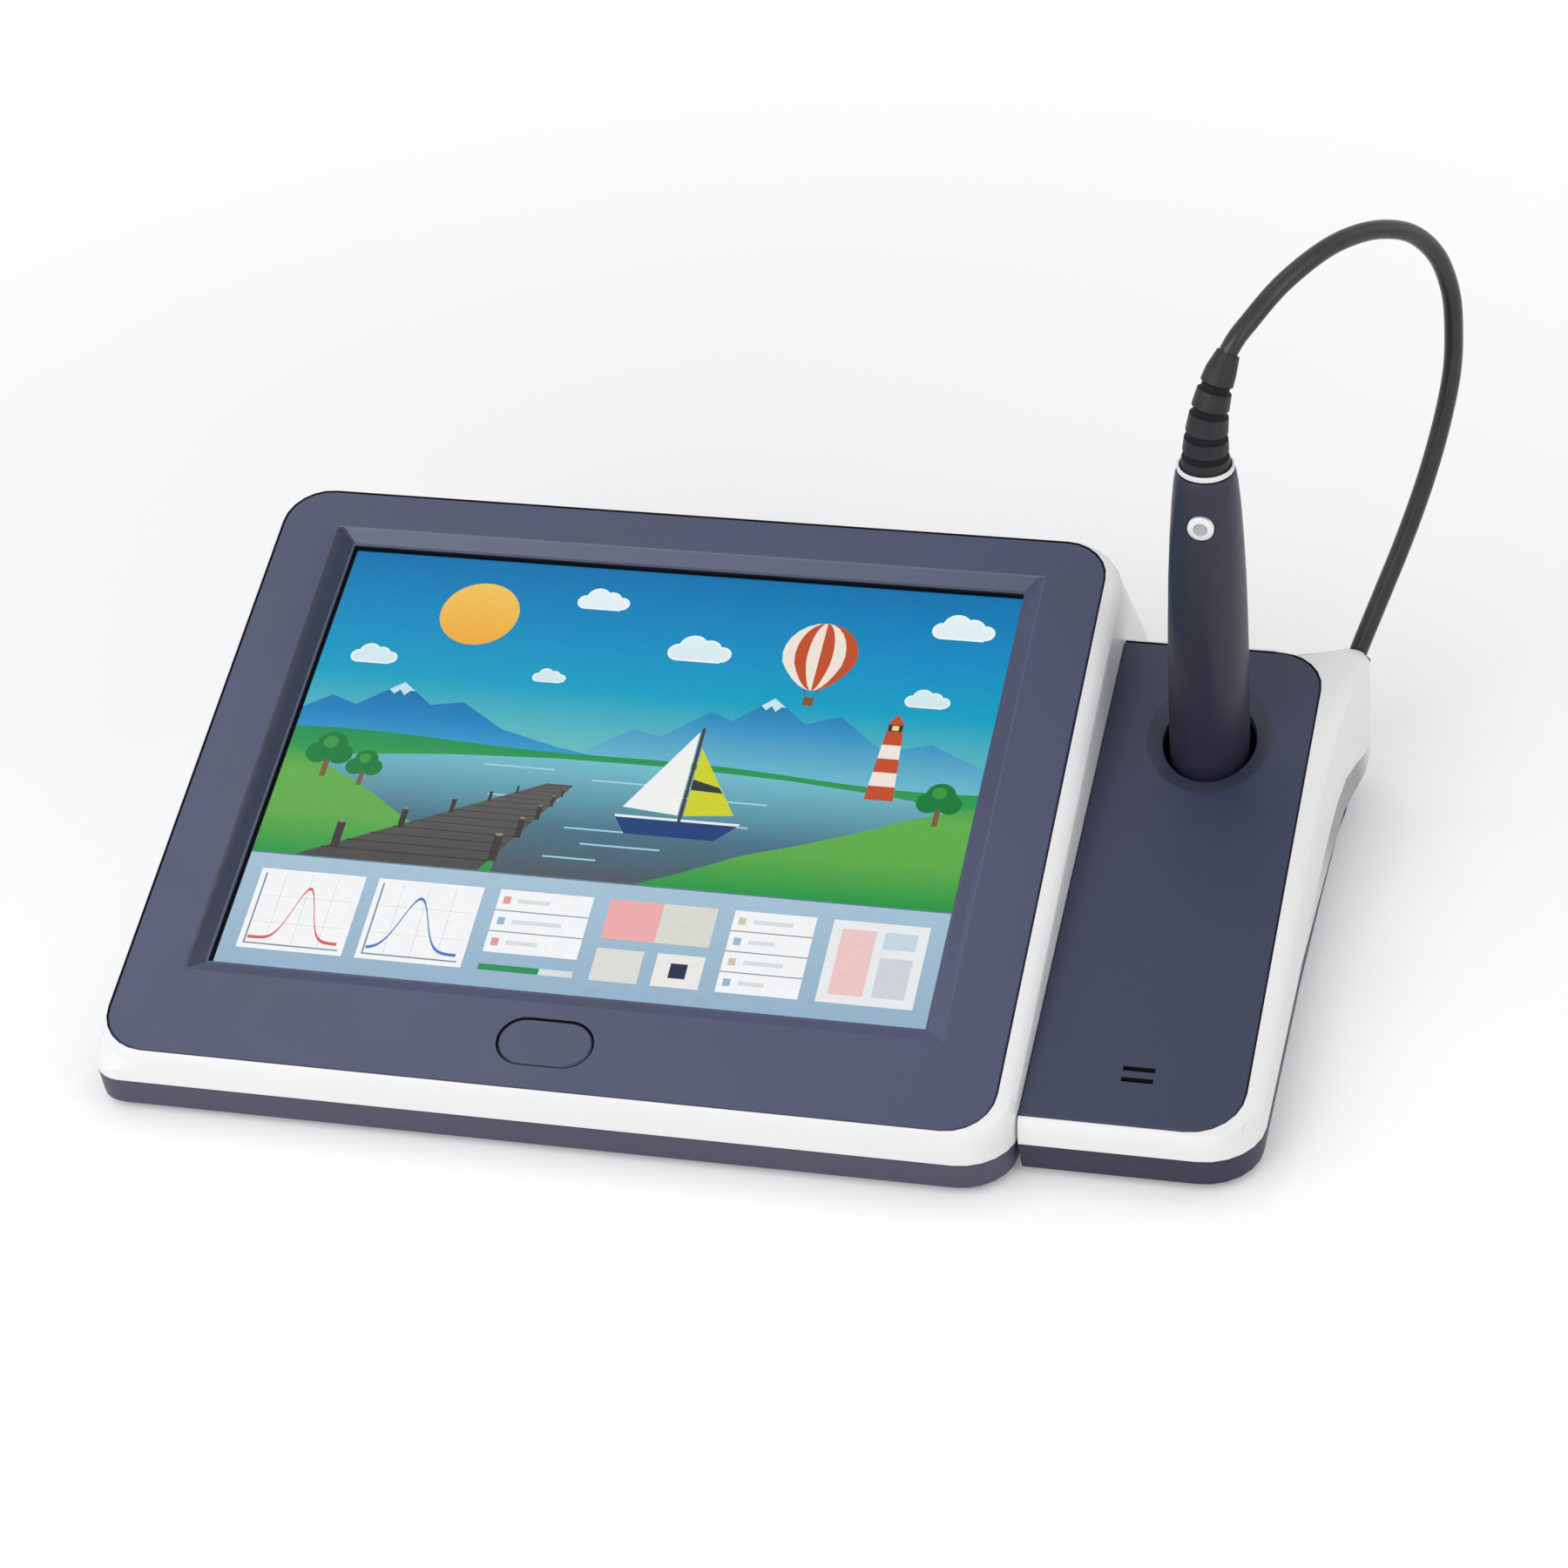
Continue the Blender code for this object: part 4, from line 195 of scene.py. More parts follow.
def moulded(name, colour, spread=0.08, roughness=0.45, grain=0.12, level=0.5, patchy=0.055, marks=None):
    """Moulded plastic: slight drift of colour, uneven gloss, fine erosion grain and softened edges.

    spread is the drift of the colour, patchy that of the roughness, level the specular level;
    marks(tree, skin) may draw over the colour.
    """
    tree = Tree(name)
    dark = tuple(c * (1.0 - spread) for c in colour)
    light = tuple(min(1.0, c * (1.0 + spread)) for c in colour)
    cloud = tree.noise(11.0, 4.0)
    skin = tree.ramp(cloud, [(0.30, dark), (0.52, colour), (0.72, light)])
    tree.link(marks(tree, skin) if marks else skin, "Base Color")
    gloss = tree.noise(70.0, 5.0)
    tree.link(tree.spread(gloss, roughness - patchy, roughness + patchy), "Roughness")
    fine = tree.noise(GRAIN_SCALE, 3.0, rough=0.6)
    tree.link(tree.bump(fine, grain, GRAIN_HEIGHT, tree.rounded(EDGE_RADIUS)), "Normal")
    tree.set("IOR", 1.5)
    tree.set("Specular IOR Level", level)
    return tree.material


# lines painted round the screen's recess, a shadow at the left and highlights at the rear and the right, in
# millimetres on the screen: (axis, low, high) across the line and along it, the line's colour and its share
RECESS_LIGHT_LINES = (
    (("X", -6.25, -5.8), ("Y", -4.0, 166.6), (0.012, 0.013, 0.03), 0.75),
    (("Y", 166.3, 166.9), ("X", -5.8, 216.8), (0.15, 0.17, 0.25), 0.5),
    (("X", 216.5, 217.0), ("Y", -4.0, 166.9), (0.12, 0.15, 0.20), 0.3),
)


def recess_shade_and_highlights(tree, skin):
    """Painted lines where the recess begins: a shadow at the left, highlights at the rear and right."""
    mapping = tree.add("ShaderNodeMapping", vector_type="TEXTURE")
    mapping.inputs["Location"].default_value = DISPLAY_AT
    mapping.inputs["Rotation"].default_value = (TILT, 0.0, 0.0)
    tree.links.new(tree.place, mapping.inputs["Vector"])
    axes = tree.add("ShaderNodeSeparateXYZ")
    tree.links.new(mapping.outputs["Vector"], axes.inputs[0])

    def band(axis, low, high):
        near = tree.add("ShaderNodeMath", operation="COMPARE")
        tree.links.new(axes.outputs[axis], near.inputs[0])
        near.inputs[1].default_value = (low + high) / 2 * MM
        near.inputs[2].default_value = (high - low) / 2 * MM
        return near.outputs["Value"]

    for across, along, colour, share in RECESS_LIGHT_LINES:
        on_line = tree.times(band(*across), band(*along))
        blend = tree.add("ShaderNodeMix", data_type="RGBA")
        tree.links.new(tree.times(on_line, share), blend.inputs["Factor"])
        # inputs 6 and 7 are the colours A and B, output 2 is the mixed colour
        tree.links.new(skin, blend.inputs[6])
        blend.inputs[7].default_value = (*colour, 1.0)
        skin = blend.outputs[2]
    return skin


def rubber(name, colour, roughness=0.55, grain=0.25, level=0.5):
    """Moulded rubber: near black with dusty patches and a matt skin."""
    tree = Tree(name)
    dust = tree.noise(160.0, 5.0)
    pale = tuple(min(1.0, c * 1.5 + 0.004) for c in colour)
    tree.link(tree.ramp(dust, [(0.35, colour), (0.75, pale)]), "Base Color")
    tree.link(tree.spread(tree.noise(90.0, 3.0), roughness - 0.07, roughness + 0.08), "Roughness")
    fine = tree.noise(2600.0, 2.0)
    tree.link(tree.bump(fine, grain, 0.00004, tree.rounded(0.25 * MM)), "Normal")
    tree.set("Specular IOR Level", level)
    return tree.material


def metal(name, colour, roughness=0.32, brushed=(1.0, 1.0, 1.0)):
    """Sheet or turned metal with fine drawing marks and a few tarnish clouds."""
    tree = Tree(name)
    marks = tree.noise(900.0, 4.0, stretch=brushed)
    dull = tuple(c * 0.82 for c in colour)
    tree.link(tree.ramp(tree.noise(60.0, 4.0), [(0.35, dull), (0.62, colour)]), "Base Color")
    tree.link(tree.spread(marks, roughness - 0.08, roughness + 0.12), "Roughness")
    tree.link(tree.bump(marks, 0.12, 0.00003, tree.rounded(0.15 * MM)), "Normal")
    tree.set("Metallic", 1.0)
    return tree.material


def board(name, colour):
    """Circuit board: solder mask over a faint pattern of copper runs."""
    tree = Tree(name)
    cells = tree.add("ShaderNodeTexVoronoi", feature="DISTANCE_TO_EDGE")
    cells.inputs["Scale"].default_value = 260.0
    tree.links.new(tree.place, cells.inputs["Vector"])
    pale = tuple(min(1.0, c * 1.9 + 0.01) for c in colour)
    tree.link(tree.ramp(cells.outputs["Distance"], [(0.04, pale), (0.10, colour)]), "Base Color")
    tree.link(tree.spread(tree.noise(200.0, 3.0), 0.30, 0.48), "Roughness")
    tree.link(tree.bump(cells.outputs["Distance"], 0.2, 0.00005), "Normal")
    return tree.material


# ---------------------------------------------------------------- materials of the CAD nodes

SLATE = (0.049, 0.059, 0.124)
WHITE = (0.86, 0.86, 0.855)
PANEL = moulded("panel_slate", SLATE, roughness=0.3, level=0.4, patchy=0.012)
BEZEL = moulded("bezel_slate", SLATE, roughness=0.3, level=0.4, patchy=0.012, marks=recess_shade_and_highlights)
LEFT_SLOPE_SHADE = moulded("left_slope_painted_shade", (0.024, 0.031, 0.062), roughness=0.34, level=0.3, patchy=0.012)
COVER = moulded("cover_slate", (0.028, 0.036, 0.076), roughness=0.42, level=0.4, patchy=0.02)
BASE = moulded("base_slate", (0.058, 0.058, 0.100), roughness=0.5)
SIDE_BASE = moulded("side_base_slate", (0.027, 0.027, 0.054), roughness=0.5, level=0.4)
PROBE = moulded("probe_slate", (0.025, 0.024, 0.045), roughness=0.38, grain=0.08, level=0.4, patchy=0.02)
SHELL = moulded("shell_white", WHITE, spread=0.012, roughness=0.38, grain=0.06)
KEYCAP = moulded("button_white", (0.88, 0.88, 0.88), spread=0.012, roughness=0.32, grain=0.03)
DARK = moulded("dark_moulding", (0.030, 0.030, 0.034), roughness=0.5)
WELL = moulded("well_moulding", (0.022, 0.022, 0.036), roughness=0.48)
TIP = rubber("tip_silicone", (0.05, 0.05, 0.055), 0.45)
RUBBER = rubber("black_rubber", (0.012, 0.013, 0.014), 0.5, level=0.35)
LEAD = rubber("lead_rubber", (0.013, 0.014, 0.015), 0.3, 0.08, 0.45)
FOOT = rubber("foot_rubber", (0.020, 0.020, 0.021), 0.72, 0.4)
STEEL = metal("steel_plate", (0.58, 0.59, 0.60), 0.34, (1.0, 14.0, 1.0))
SCREW = metal("screw_steel", (0.50, 0.50, 0.49), 0.3)
BOARD = board("board_green", (0.012, 0.075, 0.030))
TUBE = rubber("tube_silicone", (0.55, 0.57, 0.57), 0.4, 0.05)

# near black, painted as the shadow in seams, gaps and grooves
PAINTED_SEAM_SHADOW = moulded("seam_shadow", (0.010, 0.010, 0.013), roughness=0.7, level=0.2)
WINDOW_WALL_SHADE = moulded("window_wall_painted_shade", (0.004, 0.004, 0.005), roughness=0.5)
DISH_SHADE = moulded("cover_dish_painted_shade", (0.028, 0.035, 0.062), roughness=0.5)


def painted_hollow_shade(front, rear):
    """The shell's white, with painted shade greyer deep in the hollow; front and rear are its ends along Y.
    """
    tree = Tree("shell_recess_painted_shade")
    place = tree.add("ShaderNodeSeparateXYZ")
    tree.links.new(tree.place, place.inputs[0])
    along = tree.spread(place.outputs["Y"], 0.0, 1.0, front, rear)
    tree.link(tree.ramp(along, [(0.0, WHITE), (0.30, (0.66, 0.66, 0.655)), (0.52, (0.38, 0.38, 0.375)),
                                (0.84, (0.37, 0.37, 0.365)), (1.0, WHITE)]), "Base Color")
    tree.link(tree.spread(tree.noise(70.0, 5.0), 0.42, 0.54), "Roughness")
    fine = tree.noise(GRAIN_SCALE, 3.0, rough=0.6)
    tree.link(tree.bump(fine, 0.1, GRAIN_HEIGHT, tree.rounded(EDGE_RADIUS)), "Normal")
    return tree.material


SHELL_SHADE = painted_hollow_shade(-0.018, 0.080)
BUTTON_MIDDLE_GREY = moulded("button_middle_grey", (0.50, 0.50, 0.51), spread=0.1, roughness=0.3, grain=0.3)

# the upward directions of the panel and of the side cover
PANEL_UP = Vector((0.0, -0.2588190, 0.9659258))
COVER_UP = Vector((0.0, -0.1770847, 0.9841957))
SMOOTH_DEGREES = 32.0
FLAT = 0.9995


def bent(degrees):
    """A test that tells whether two face normals stand further apart than the angle."""
    limit = math.cos(math.radians(degrees))
    return lambda first, second: first.dot(second) < limit


sharp = bent(SMOOTH_DEGREES)
slightly_bent = bent(3.0)


def panel_crease(first, second):
    """The panel's plane and the slopes of its recess meet in crisp lines."""
    upward = first.dot(PANEL_UP) > 0.9 and second.dot(PANEL_UP) > 0.9
    return slightly_bent(first, second) if upward else sharp(first, second)


def cover_crease(first, second):
    """The side cover's plane ends crisply at the dish round the well."""
    flat = [n.dot(COVER_UP) > FLAT for n in (first, second)]
    return flat[0] != flat[1] or sharp(first, second)


def rim_crease(first, second):
    """The white rim's upper strip ends in a crisp line against the side walls."""
    beside = abs(first.x) > 0.35 or abs(second.x) > 0.35
    upper = [n.z > 0.55 for n in (first, second)]
    return (beside and upper[0] != upper[1]) or sharp(first, second)


CREASE = {
    "bezel": panel_crease, "side_cover": cover_crease, "side_shell": bent(24.0), "main_shell": rim_crease,
}


def shade(node, apart):
    """Shading normals: averaged over round forms, by face size, and crisp where apart() says so."""
    mesh = node.data
    meeting, corners = {}, []
    for polygon in mesh.polygons:
        ring = list(polygon.loop_indices)
        spots = [mesh.vertices[mesh.loops[i].vertex_index].co for i in ring]
        own = polygon.normal.copy()
        for place, loop in enumerate(ring):
            here = spots[place]
            ahead, behind = spots[(place + 1) % len(ring)] - here, spots[place - 1] - here
            key = tuple(round(c * 200000.0) for c in here)
            meeting.setdefault(key, []).append((own, polygon.area * ahead.angle(behind, 0.0)))
            corners.append((loop, key, own))
    normals = [Vector((0.0, 0.0, 1.0))] * len(mesh.loops)
    for loop, key, own in corners:
        total = own * 1e-9
        for other, weight in meeting[key]:
            if not apart(own, other):
                total = total + other * weight
        normals[loop] = total.normalized()
    mesh.normals_split_custom_set(normals)


FINISH = {
    "bezel": BEZEL, "front_button": PANEL, "side_cover": COVER, "main_base": BASE, "side_base": SIDE_BASE,
    "probe_handle": PROBE, "probe_nose": PROBE, "main_shell": SHELL, "side_shell": SHELL,
    "probe_collar": SHELL, "probe_button": KEYCAP, "cable_gland": RUBBER, "bend_protector": RUBBER,
    "probe_cable": LEAD, "touch_glass": DARK, "probe_tip": TIP, "probe_well": WELL, "air_tube": TUBE,
}
for name, node in nodes.items():
    if name in FINISH:
        finish = FINISH[name]
    elif name.startswith("foot_"):
        finish = FOOT
    elif name.startswith("case_screw"):
        finish = SCREW
    elif name.endswith("_board"):
        finish = BOARD
    elif name in ("display_module", "display_tray", "processor_shield", "air_pump", "pump_saddle",
                  "probe_receiver", "probe_microphone"):
        finish = STEEL
    else:
        finish = DARK
    mesh = node.data
    mesh.materials.clear()
    mesh.materials.append(finish)
    for polygon in mesh.polygons:
        polygon.material_index = 0
        polygon.use_smooth = True
    shade(node, CREASE.get(name, sharp))


def paint(name, finish, chosen):
    """Gives the faces of a node that chosen(centre, normal) picks another finish."""
    mesh = nodes[name].data
    mesh.materials.append(finish)
    index = len(mesh.materials) - 1
    for polygon in mesh.polygons:
        if chosen(polygon.center, polygon.normal):
            polygon.material_index = index


def at_window(centre, normal):
    """Picks the upright faces round the window over the screen."""
    spot = display.inverted() @ centre / MM
    inside = -1.0 < spot.x < SCREEN_WIDE + 1.0 and -1.0 < spot.y < SCREEN_HIGH + 1.0
    return inside and abs(normal.dot(PANEL_UP)) < 0.4


def at_left_slope(centre, normal):
    """Picks the slope of the recess at the screen's left."""
    spot = display.inverted() @ centre / MM
    return spot.x < 1.0 and normal.x > 0.05 and normal.dot(PANEL_UP) > 0.4


def seam_wall(origin, up, middle, drop, inward):
    """Picks a seam's upright faces near the plane through origin, facing the middle or away from it."""
    def chosen(centre, normal):
        above = (centre - Vector(origin)).dot(up) / MM + drop
        facing = normal.dot(Vector(middle) - centre)
        beside = -SEAM_DEPTH < above < SEAM_OVER
        return abs(normal.dot(up)) < UPRIGHT and beside and (facing > 0) == inward
    return chosen


# how deep a seam reaches and how far it may stand over its plane, in millimetres
SEAM_DEPTH = 3.6
SEAM_OVER = 0.3
# faces whose normal's share along the upward direction is less than this stand upright
UPRIGHT = 0.2
# how far the panel's plane lies under the plane through DISPLAY_AT, in millimetres
PANEL_DROP = -0.36
COVER_AT = (0.0978, -0.1103, 0.0202)
PANEL_MIDDLE = display @ Vector((SCREEN_WIDE / 2 * MM, SCREEN_HIGH / 2 * MM, 0.0))
COVER_MIDDLE = (0.128, -0.02, 0.036)
BUTTON_MIDDLE = Vector((-0.0377, -0.1070, 0.0270))
BUTTON_REACH = 0.017
# the seams' upright walls and the button's hole are painted near black as shadow
paint("main_shell", PAINTED_SEAM_SHADOW, seam_wall(DISPLAY_AT, PANEL_UP, PANEL_MIDDLE, PANEL_DROP, True))
paint("bezel", PAINTED_SEAM_SHADOW, seam_wall(DISPLAY_AT, PANEL_UP, PANEL_MIDDLE, PANEL_DROP, False))
paint("side_shell", PAINTED_SEAM_SHADOW, seam_wall(COVER_AT, COVER_UP, COVER_MIDDLE, 0.0, True))
paint("side_cover", PAINTED_SEAM_SHADOW, seam_wall(COVER_AT, COVER_UP, COVER_MIDDLE, 0.0, False))
paint("bezel", PAINTED_SEAM_SHADOW, lambda centre, normal: (
    abs(normal.dot(PANEL_UP)) < UPRIGHT and (centre - BUTTON_MIDDLE).length < BUTTON_REACH))
paint("front_button", PAINTED_SEAM_SHADOW, lambda centre, normal: abs(normal.dot(PANEL_UP)) < UPRIGHT)
# the recess's left slope is painted a darker slate as shade
paint("bezel", LEFT_SLOPE_SHADE, at_left_slope)
# the upright walls round the window are painted near black as shade
paint("bezel", WINDOW_WALL_SHADE, at_window)
# the dish round the well is painted darker as shade on its slope
paint("side_cover", DISH_SHADE, lambda centre, normal: 0.8 < normal.dot(COVER_UP) < FLAT)


# painted shade in the hollow under the flared corner's crease: the crease's height along the depth, in
# millimetres
FOOT_LEVEL = 11.6
CREASE_LINE = ((-22.8, 14.0), (0.2, 15.8), (15.2, 18.0), (27.2, 20.0), (38.2, 22.5), (49.2, 24.0),
               (60.2, 21.5), (69.2, 19.2), (72.4, 18.5), (90.0, 18.5))


def in_recess(place):
    """Whether a place lies between the foot of the side shell and the crease."""
    y, z = place.y / MM, place.z / MM
    for (y0, low), (y1, high) in zip(CREASE_LINE, CREASE_LINE[1:]):
        if y0 - 0.1 <= y <= y1 + 0.1:
            share = (y - y0) / (y1 - y0)
            return FOOT_LEVEL - 0.3 < z < low + (high - low) * share + 0.3
    return False


# the side shell's faces in the hollow get the painted shade, white again at both ends along Y
shell = nodes["side_shell"].data
shell.materials.append(SHELL_SHADE)
for polygon in shell.polygons:
    spots = [shell.vertices[i].co for i in polygon.vertices]
    if polygon.normal.x > 0.5 and all(in_recess(spot) for spot in spots):
        polygon.material_index = len(shell.materials) - 1

# the grey middle of the probe's button: its axis in x and z, its radius and its foremost wall's place
MARK_X, MARK_Z = 0.1285, 0.1265
MARK_RADIUS = 2.12 * MM
MARK_REAR = 0.026
paint("probe_button", BUTTON_MIDDLE_GREY, lambda centre, normal: (
    math.hypot(centre.x - MARK_X, centre.z - MARK_Z) < MARK_RADIUS and centre.y < MARK_REAR))

# the bend protector's grooves have the smallest faces; they are painted near black as shadow
GROOVE_FACE = 1.2e-6
sleeve = nodes["bend_protector"].data
sleeve.materials.append(PAINTED_SEAM_SHADOW)
for polygon in sleeve.polygons:
    if polygon.area < GROOVE_FACE:
        polygon.material_index = 1


# ---------------------------------------------------------------- cable

# the lead's middle line from the bend protector to the gland, in metres in the shared frame
ROUTE = [
    (0.13291, 0.03959, 0.17105), (0.13449, 0.04148, 0.17494), (0.13656, 0.04397, 0.17818),
    (0.13904, 0.04696, 0.18066), (0.14150, 0.04992, 0.18319), (0.14401, 0.05293, 0.18561),
    (0.14663, 0.05609, 0.18769), (0.14938, 0.05939, 0.18935), (0.15218, 0.06276, 0.19074),
    (0.15504, 0.06620, 0.19187), (0.15794, 0.06968, 0.19266), (0.16087, 0.07322, 0.19294),
    (0.16382, 0.07675, 0.19273), (0.16674, 0.08026, 0.19214), (0.16960, 0.08371, 0.19109),
    (0.17238, 0.08705, 0.18956), (0.17507, 0.09028, 0.18769), (0.17761, 0.09334, 0.18538),
    (0.17993, 0.09613, 0.18255), (0.18202, 0.09865, 0.17930), (0.18389, 0.10089, 0.17575),
    (0.18551, 0.10285, 0.17191), (0.18682, 0.10442, 0.16779), (0.18787, 0.10569, 0.16349),
    (0.18873, 0.10672, 0.15908), (0.18933, 0.10744, 0.15458), (0.18966, 0.10783, 0.15000),
    (0.18985, 0.10807, 0.14540), (0.18994, 0.10818, 0.14080), (0.18989, 0.10811, 0.13620),
    (0.18965, 0.10783, 0.13161), (0.18918, 0.10726, 0.12706), (0.18854, 0.10649, 0.12257),
    (0.18781, 0.10562, 0.11810), (0.18700, 0.10463, 0.11368), (0.18609, 0.10354, 0.10930),
    (0.18511, 0.10236, 0.10496), (0.18405, 0.10109, 0.10066), (0.18293, 0.09974, 0.09640),
    (0.18174, 0.09831, 0.09219), (0.18047, 0.09679, 0.08803), (0.17916, 0.09520, 0.08391),
    (0.17780, 0.09357, 0.07982), (0.17640, 0.09189, 0.07577), (0.17494, 0.09013, 0.07177),
    (0.17347, 0.08837, 0.06778), (0.17201, 0.08661, 0.06378), (0.17054, 0.08485, 0.05979),
    (0.16908, 0.08308, 0.05579), (0.16761, 0.08132, 0.05180), (0.16619, 0.07961, 0.04776),
]
LEAD_DIAMETER = 5.5 * MM
LEAD_SIDES = 24


def smooth_line(points, steps):
    """Points of a smooth curve through the given ones, with steps parts between each pair."""
    points = [Vector(p) for p in points]
    out = []
    for i in range(len(points) - 1):
        before = points[max(i - 1, 0)]
        a, b = points[i], points[i + 1]
        after = points[min(i + 2, len(points) - 1)]
        for k in range(steps):
            t = k / steps
            out.append(0.5 * (2 * a + (b - before) * t + (2 * before - 5 * a + 4 * b - after) * t ** 2
                              + (3 * a - before - 3 * b + after) * t ** 3))
    out.append(points[-1])
    return out


def new_object(name, mesh_builder, material):
    """Turns a bmesh into an object with one material."""
    mesh = bpy.data.meshes.new(name)
    mesh_builder.to_mesh(mesh)
    mesh_builder.free()
    mesh.materials.append(material)
    piece = bpy.data.objects.new(name, mesh)
    scene.collection.objects.link(piece)
    return piece


def tube(name, line, radius, sides, material):
    """A closed round tube along a line, its rings turned as little as they can be."""
    builder = bmesh.new()
    side = None
    rings = []
    for i, point in enumerate(line):
        ahead = (line[min(i + 1, len(line) - 1)] - line[max(i - 1, 0)]).normalized()
        if side is None:
            side = ahead.orthogonal().normalized()
        side = (side - ahead * side.dot(ahead)).normalized()
        up = ahead.cross(side)
        ring = []
        for k in range(sides):
            turn = 2 * math.pi * k / sides
            ring.append(builder.verts.new(point + radius * (side * math.cos(turn) + up * math.sin(turn))))
        rings.append(ring)
    for low, high in zip(rings, rings[1:]):
        for k in range(sides):
            face = builder.faces.new((low[k], low[(k + 1) % sides], high[(k + 1) % sides], high[k]))
            face.smooth = True
    builder.faces.new(list(reversed(rings[0])))
    builder.faces.new(rings[-1])
    return new_object(name, builder, material)


lead = tube("probe_lead", smooth_line(ROUTE, 2), LEAD_DIAMETER / 2, LEAD_SIDES, LEAD)
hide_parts("probe_cable")
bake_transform(lead)


# ---------------------------------------------------------------- screen picture

# in millimetres on the screen: the glass round it, how far the glass lies under the screen's frame and
# how thick it is, the upper end of the strip of tiles and the height of the horizon
GLASS_LEFT, GLASS_RIGHT = -7.0, 218.2
GLASS_FRONT, GLASS_REAR = -4.4, 168.6
GLASS_DROP = 1.5
GLASS_THICK = 1.8
STRIP_TOP = 42.0
HORIZON = 96.0

shapes = []


def draw(points, colour):
    """Adds a closed outline in millimetres on the screen; colour is one colour or a function of (x, y)."""
    twice_area = sum(a[0] * b[1] - b[0] * a[1] for a, b in zip(points, points[1:] + points[:1]))
    outline = points if twice_area > 0 else list(reversed(points))
    shapes.append(([Vector(p) for p in outline], colour))


def block(x0, y0, x1, y1, colour):
    """Draws a level rectangle."""
    draw([(x0, y0), (x1, y0), (x1, y1), (x0, y1)], colour)


def disc(cx, cy, rx, ry, colour, steps=28):
    """Draws an ellipse."""
    draw([(cx + rx * math.cos(2 * math.pi * k / steps), cy + ry * math.sin(2 * math.pi * k / steps))
          for k in range(steps)], colour)


def upright(stops):
    """Colour that changes with height, from (y, colour) pairs in rising order."""
    def pick(x, y):
        for (low, first), (high, second) in zip(stops, stops[1:]):
            if y <= high:
                return mix(first, second, (y - low) / (high - low))
        return stops[-1][1]
    return pick


SKY = upright([(HORIZON - 14, linear(120, 188, 192)), (HORIZON, linear(84, 180, 190)),
               (HORIZON + 16, linear(0, 158, 192)), (HORIZON + 36, linear(0, 140, 192)),
               (SCREEN_HIGH, linear(0, 112, 172))])
GLASS_DARK = linear(6, 7, 9)
block(GLASS_LEFT, GLASS_FRONT, GLASS_RIGHT, GLASS_REAR, GLASS_DARK)
BANDS = 30
for band in range(BANDS):
    low = STRIP_TOP + (SCREEN_HIGH - STRIP_TOP) * band / BANDS
    high = STRIP_TOP + (SCREEN_HIGH - STRIP_TOP) * (band + 1) / BANDS
    block(0.0, low, SCREEN_WIDE, high, SKY)

# sun, clouds and a striped balloon
SUN = upright([(128, linear(236, 170, 60)), (152, linear(240, 196, 92))])
CLOUD = upright([(98, linear(200, 226, 232)), (150, linear(226, 240, 244))])
CLOUD_RIM = linear(238, 246, 248)
disc(46.0, 139.0, 12.4, 12.4, SUN, 40)


def cloud(cx, cy, size):
    """Draws a cloud of four discs on a level foot, pale inside a paler rim."""
    for colour, cut in ((CLOUD_RIM, 0.0), (CLOUD, 0.09)):
        for dx, dy, r in ((-1.0, 0.0, 0.46), (-0.42, 0.34, 0.62), (0.28, 0.22, 0.54), (0.86, 0.02, 0.42)):
            disc(cx + dx * size, cy + dy * size, (r - cut) * size, (r - cut) * size, colour, 22)
        block(cx - 1.0 * size, cy - (0.46 - cut) * size, cx + 0.86 * size, cy + 0.1 * size, colour)


for cx, cy, size in ((84, 147, 6.0), (118, 130, 7.2), (196, 146, 7.0), (190, 118, 5.0), (18, 119, 5.4),
                     (74, 116, 3.8)):
    cloud(cx, cy, size)

# the balloon's middle and radius
BALLOON = (154.0, 133.0, 12.5)
for k in range(6):
    outline = []
    for turn, side in ((range(0, 13), k / 3.0 - 1.0), (range(12, -1, -1), (k + 1) / 3.0 - 1.0)):
        for step in turn:
            angle = math.pi * step / 12
            y = math.cos(angle)
            wide = math.sin(angle) * (1.0 if y > -0.2 else 1.0 - 0.35 * (-0.2 - y))
            tall = y if y > 0 else y * 1.12
            outline.append((BALLOON[0] + BALLOON[2] * 0.92 * side * wide, BALLOON[1] + BALLOON[2] * tall))
    clean = [q for i, q in enumerate(outline) if math.dist(q, outline[i - 1]) > 0.02]
    draw(clean, linear(190, 78, 38) if k % 2 else linear(238, 226, 214))
draw([(151.6, 119.6), (151.9, 119.6), (153.0, 116.4), (152.7, 116.4)], linear(92, 74, 60))
draw([(156.1, 119.6), (156.4, 119.6), (155.3, 116.4), (155.0, 116.4)], linear(92, 74, 60))
block(152.4, 113.2, 155.6, 116.4, linear(126, 84, 50))


def hilly(start, end, count, middle, swing, phase, lean=0.0):
    """Points of a rolling outline from start to end."""
    out = []
    for k in range(count + 1):
        share = k / count
        wave = 0.6 * math.sin(phase + 5.1 * share) + 0.4 * math.sin(2.3 * phase + 11.0 * share)
        out.append((start + (end - start) * share, middle + lean * share + swing * wave))
    return out


def under(points, foot, colour):
    """Fills the area between an outline and a level line below it."""
    draw([(points[0][0], foot), (points[-1][0], foot)] + list(reversed(points)), colour)


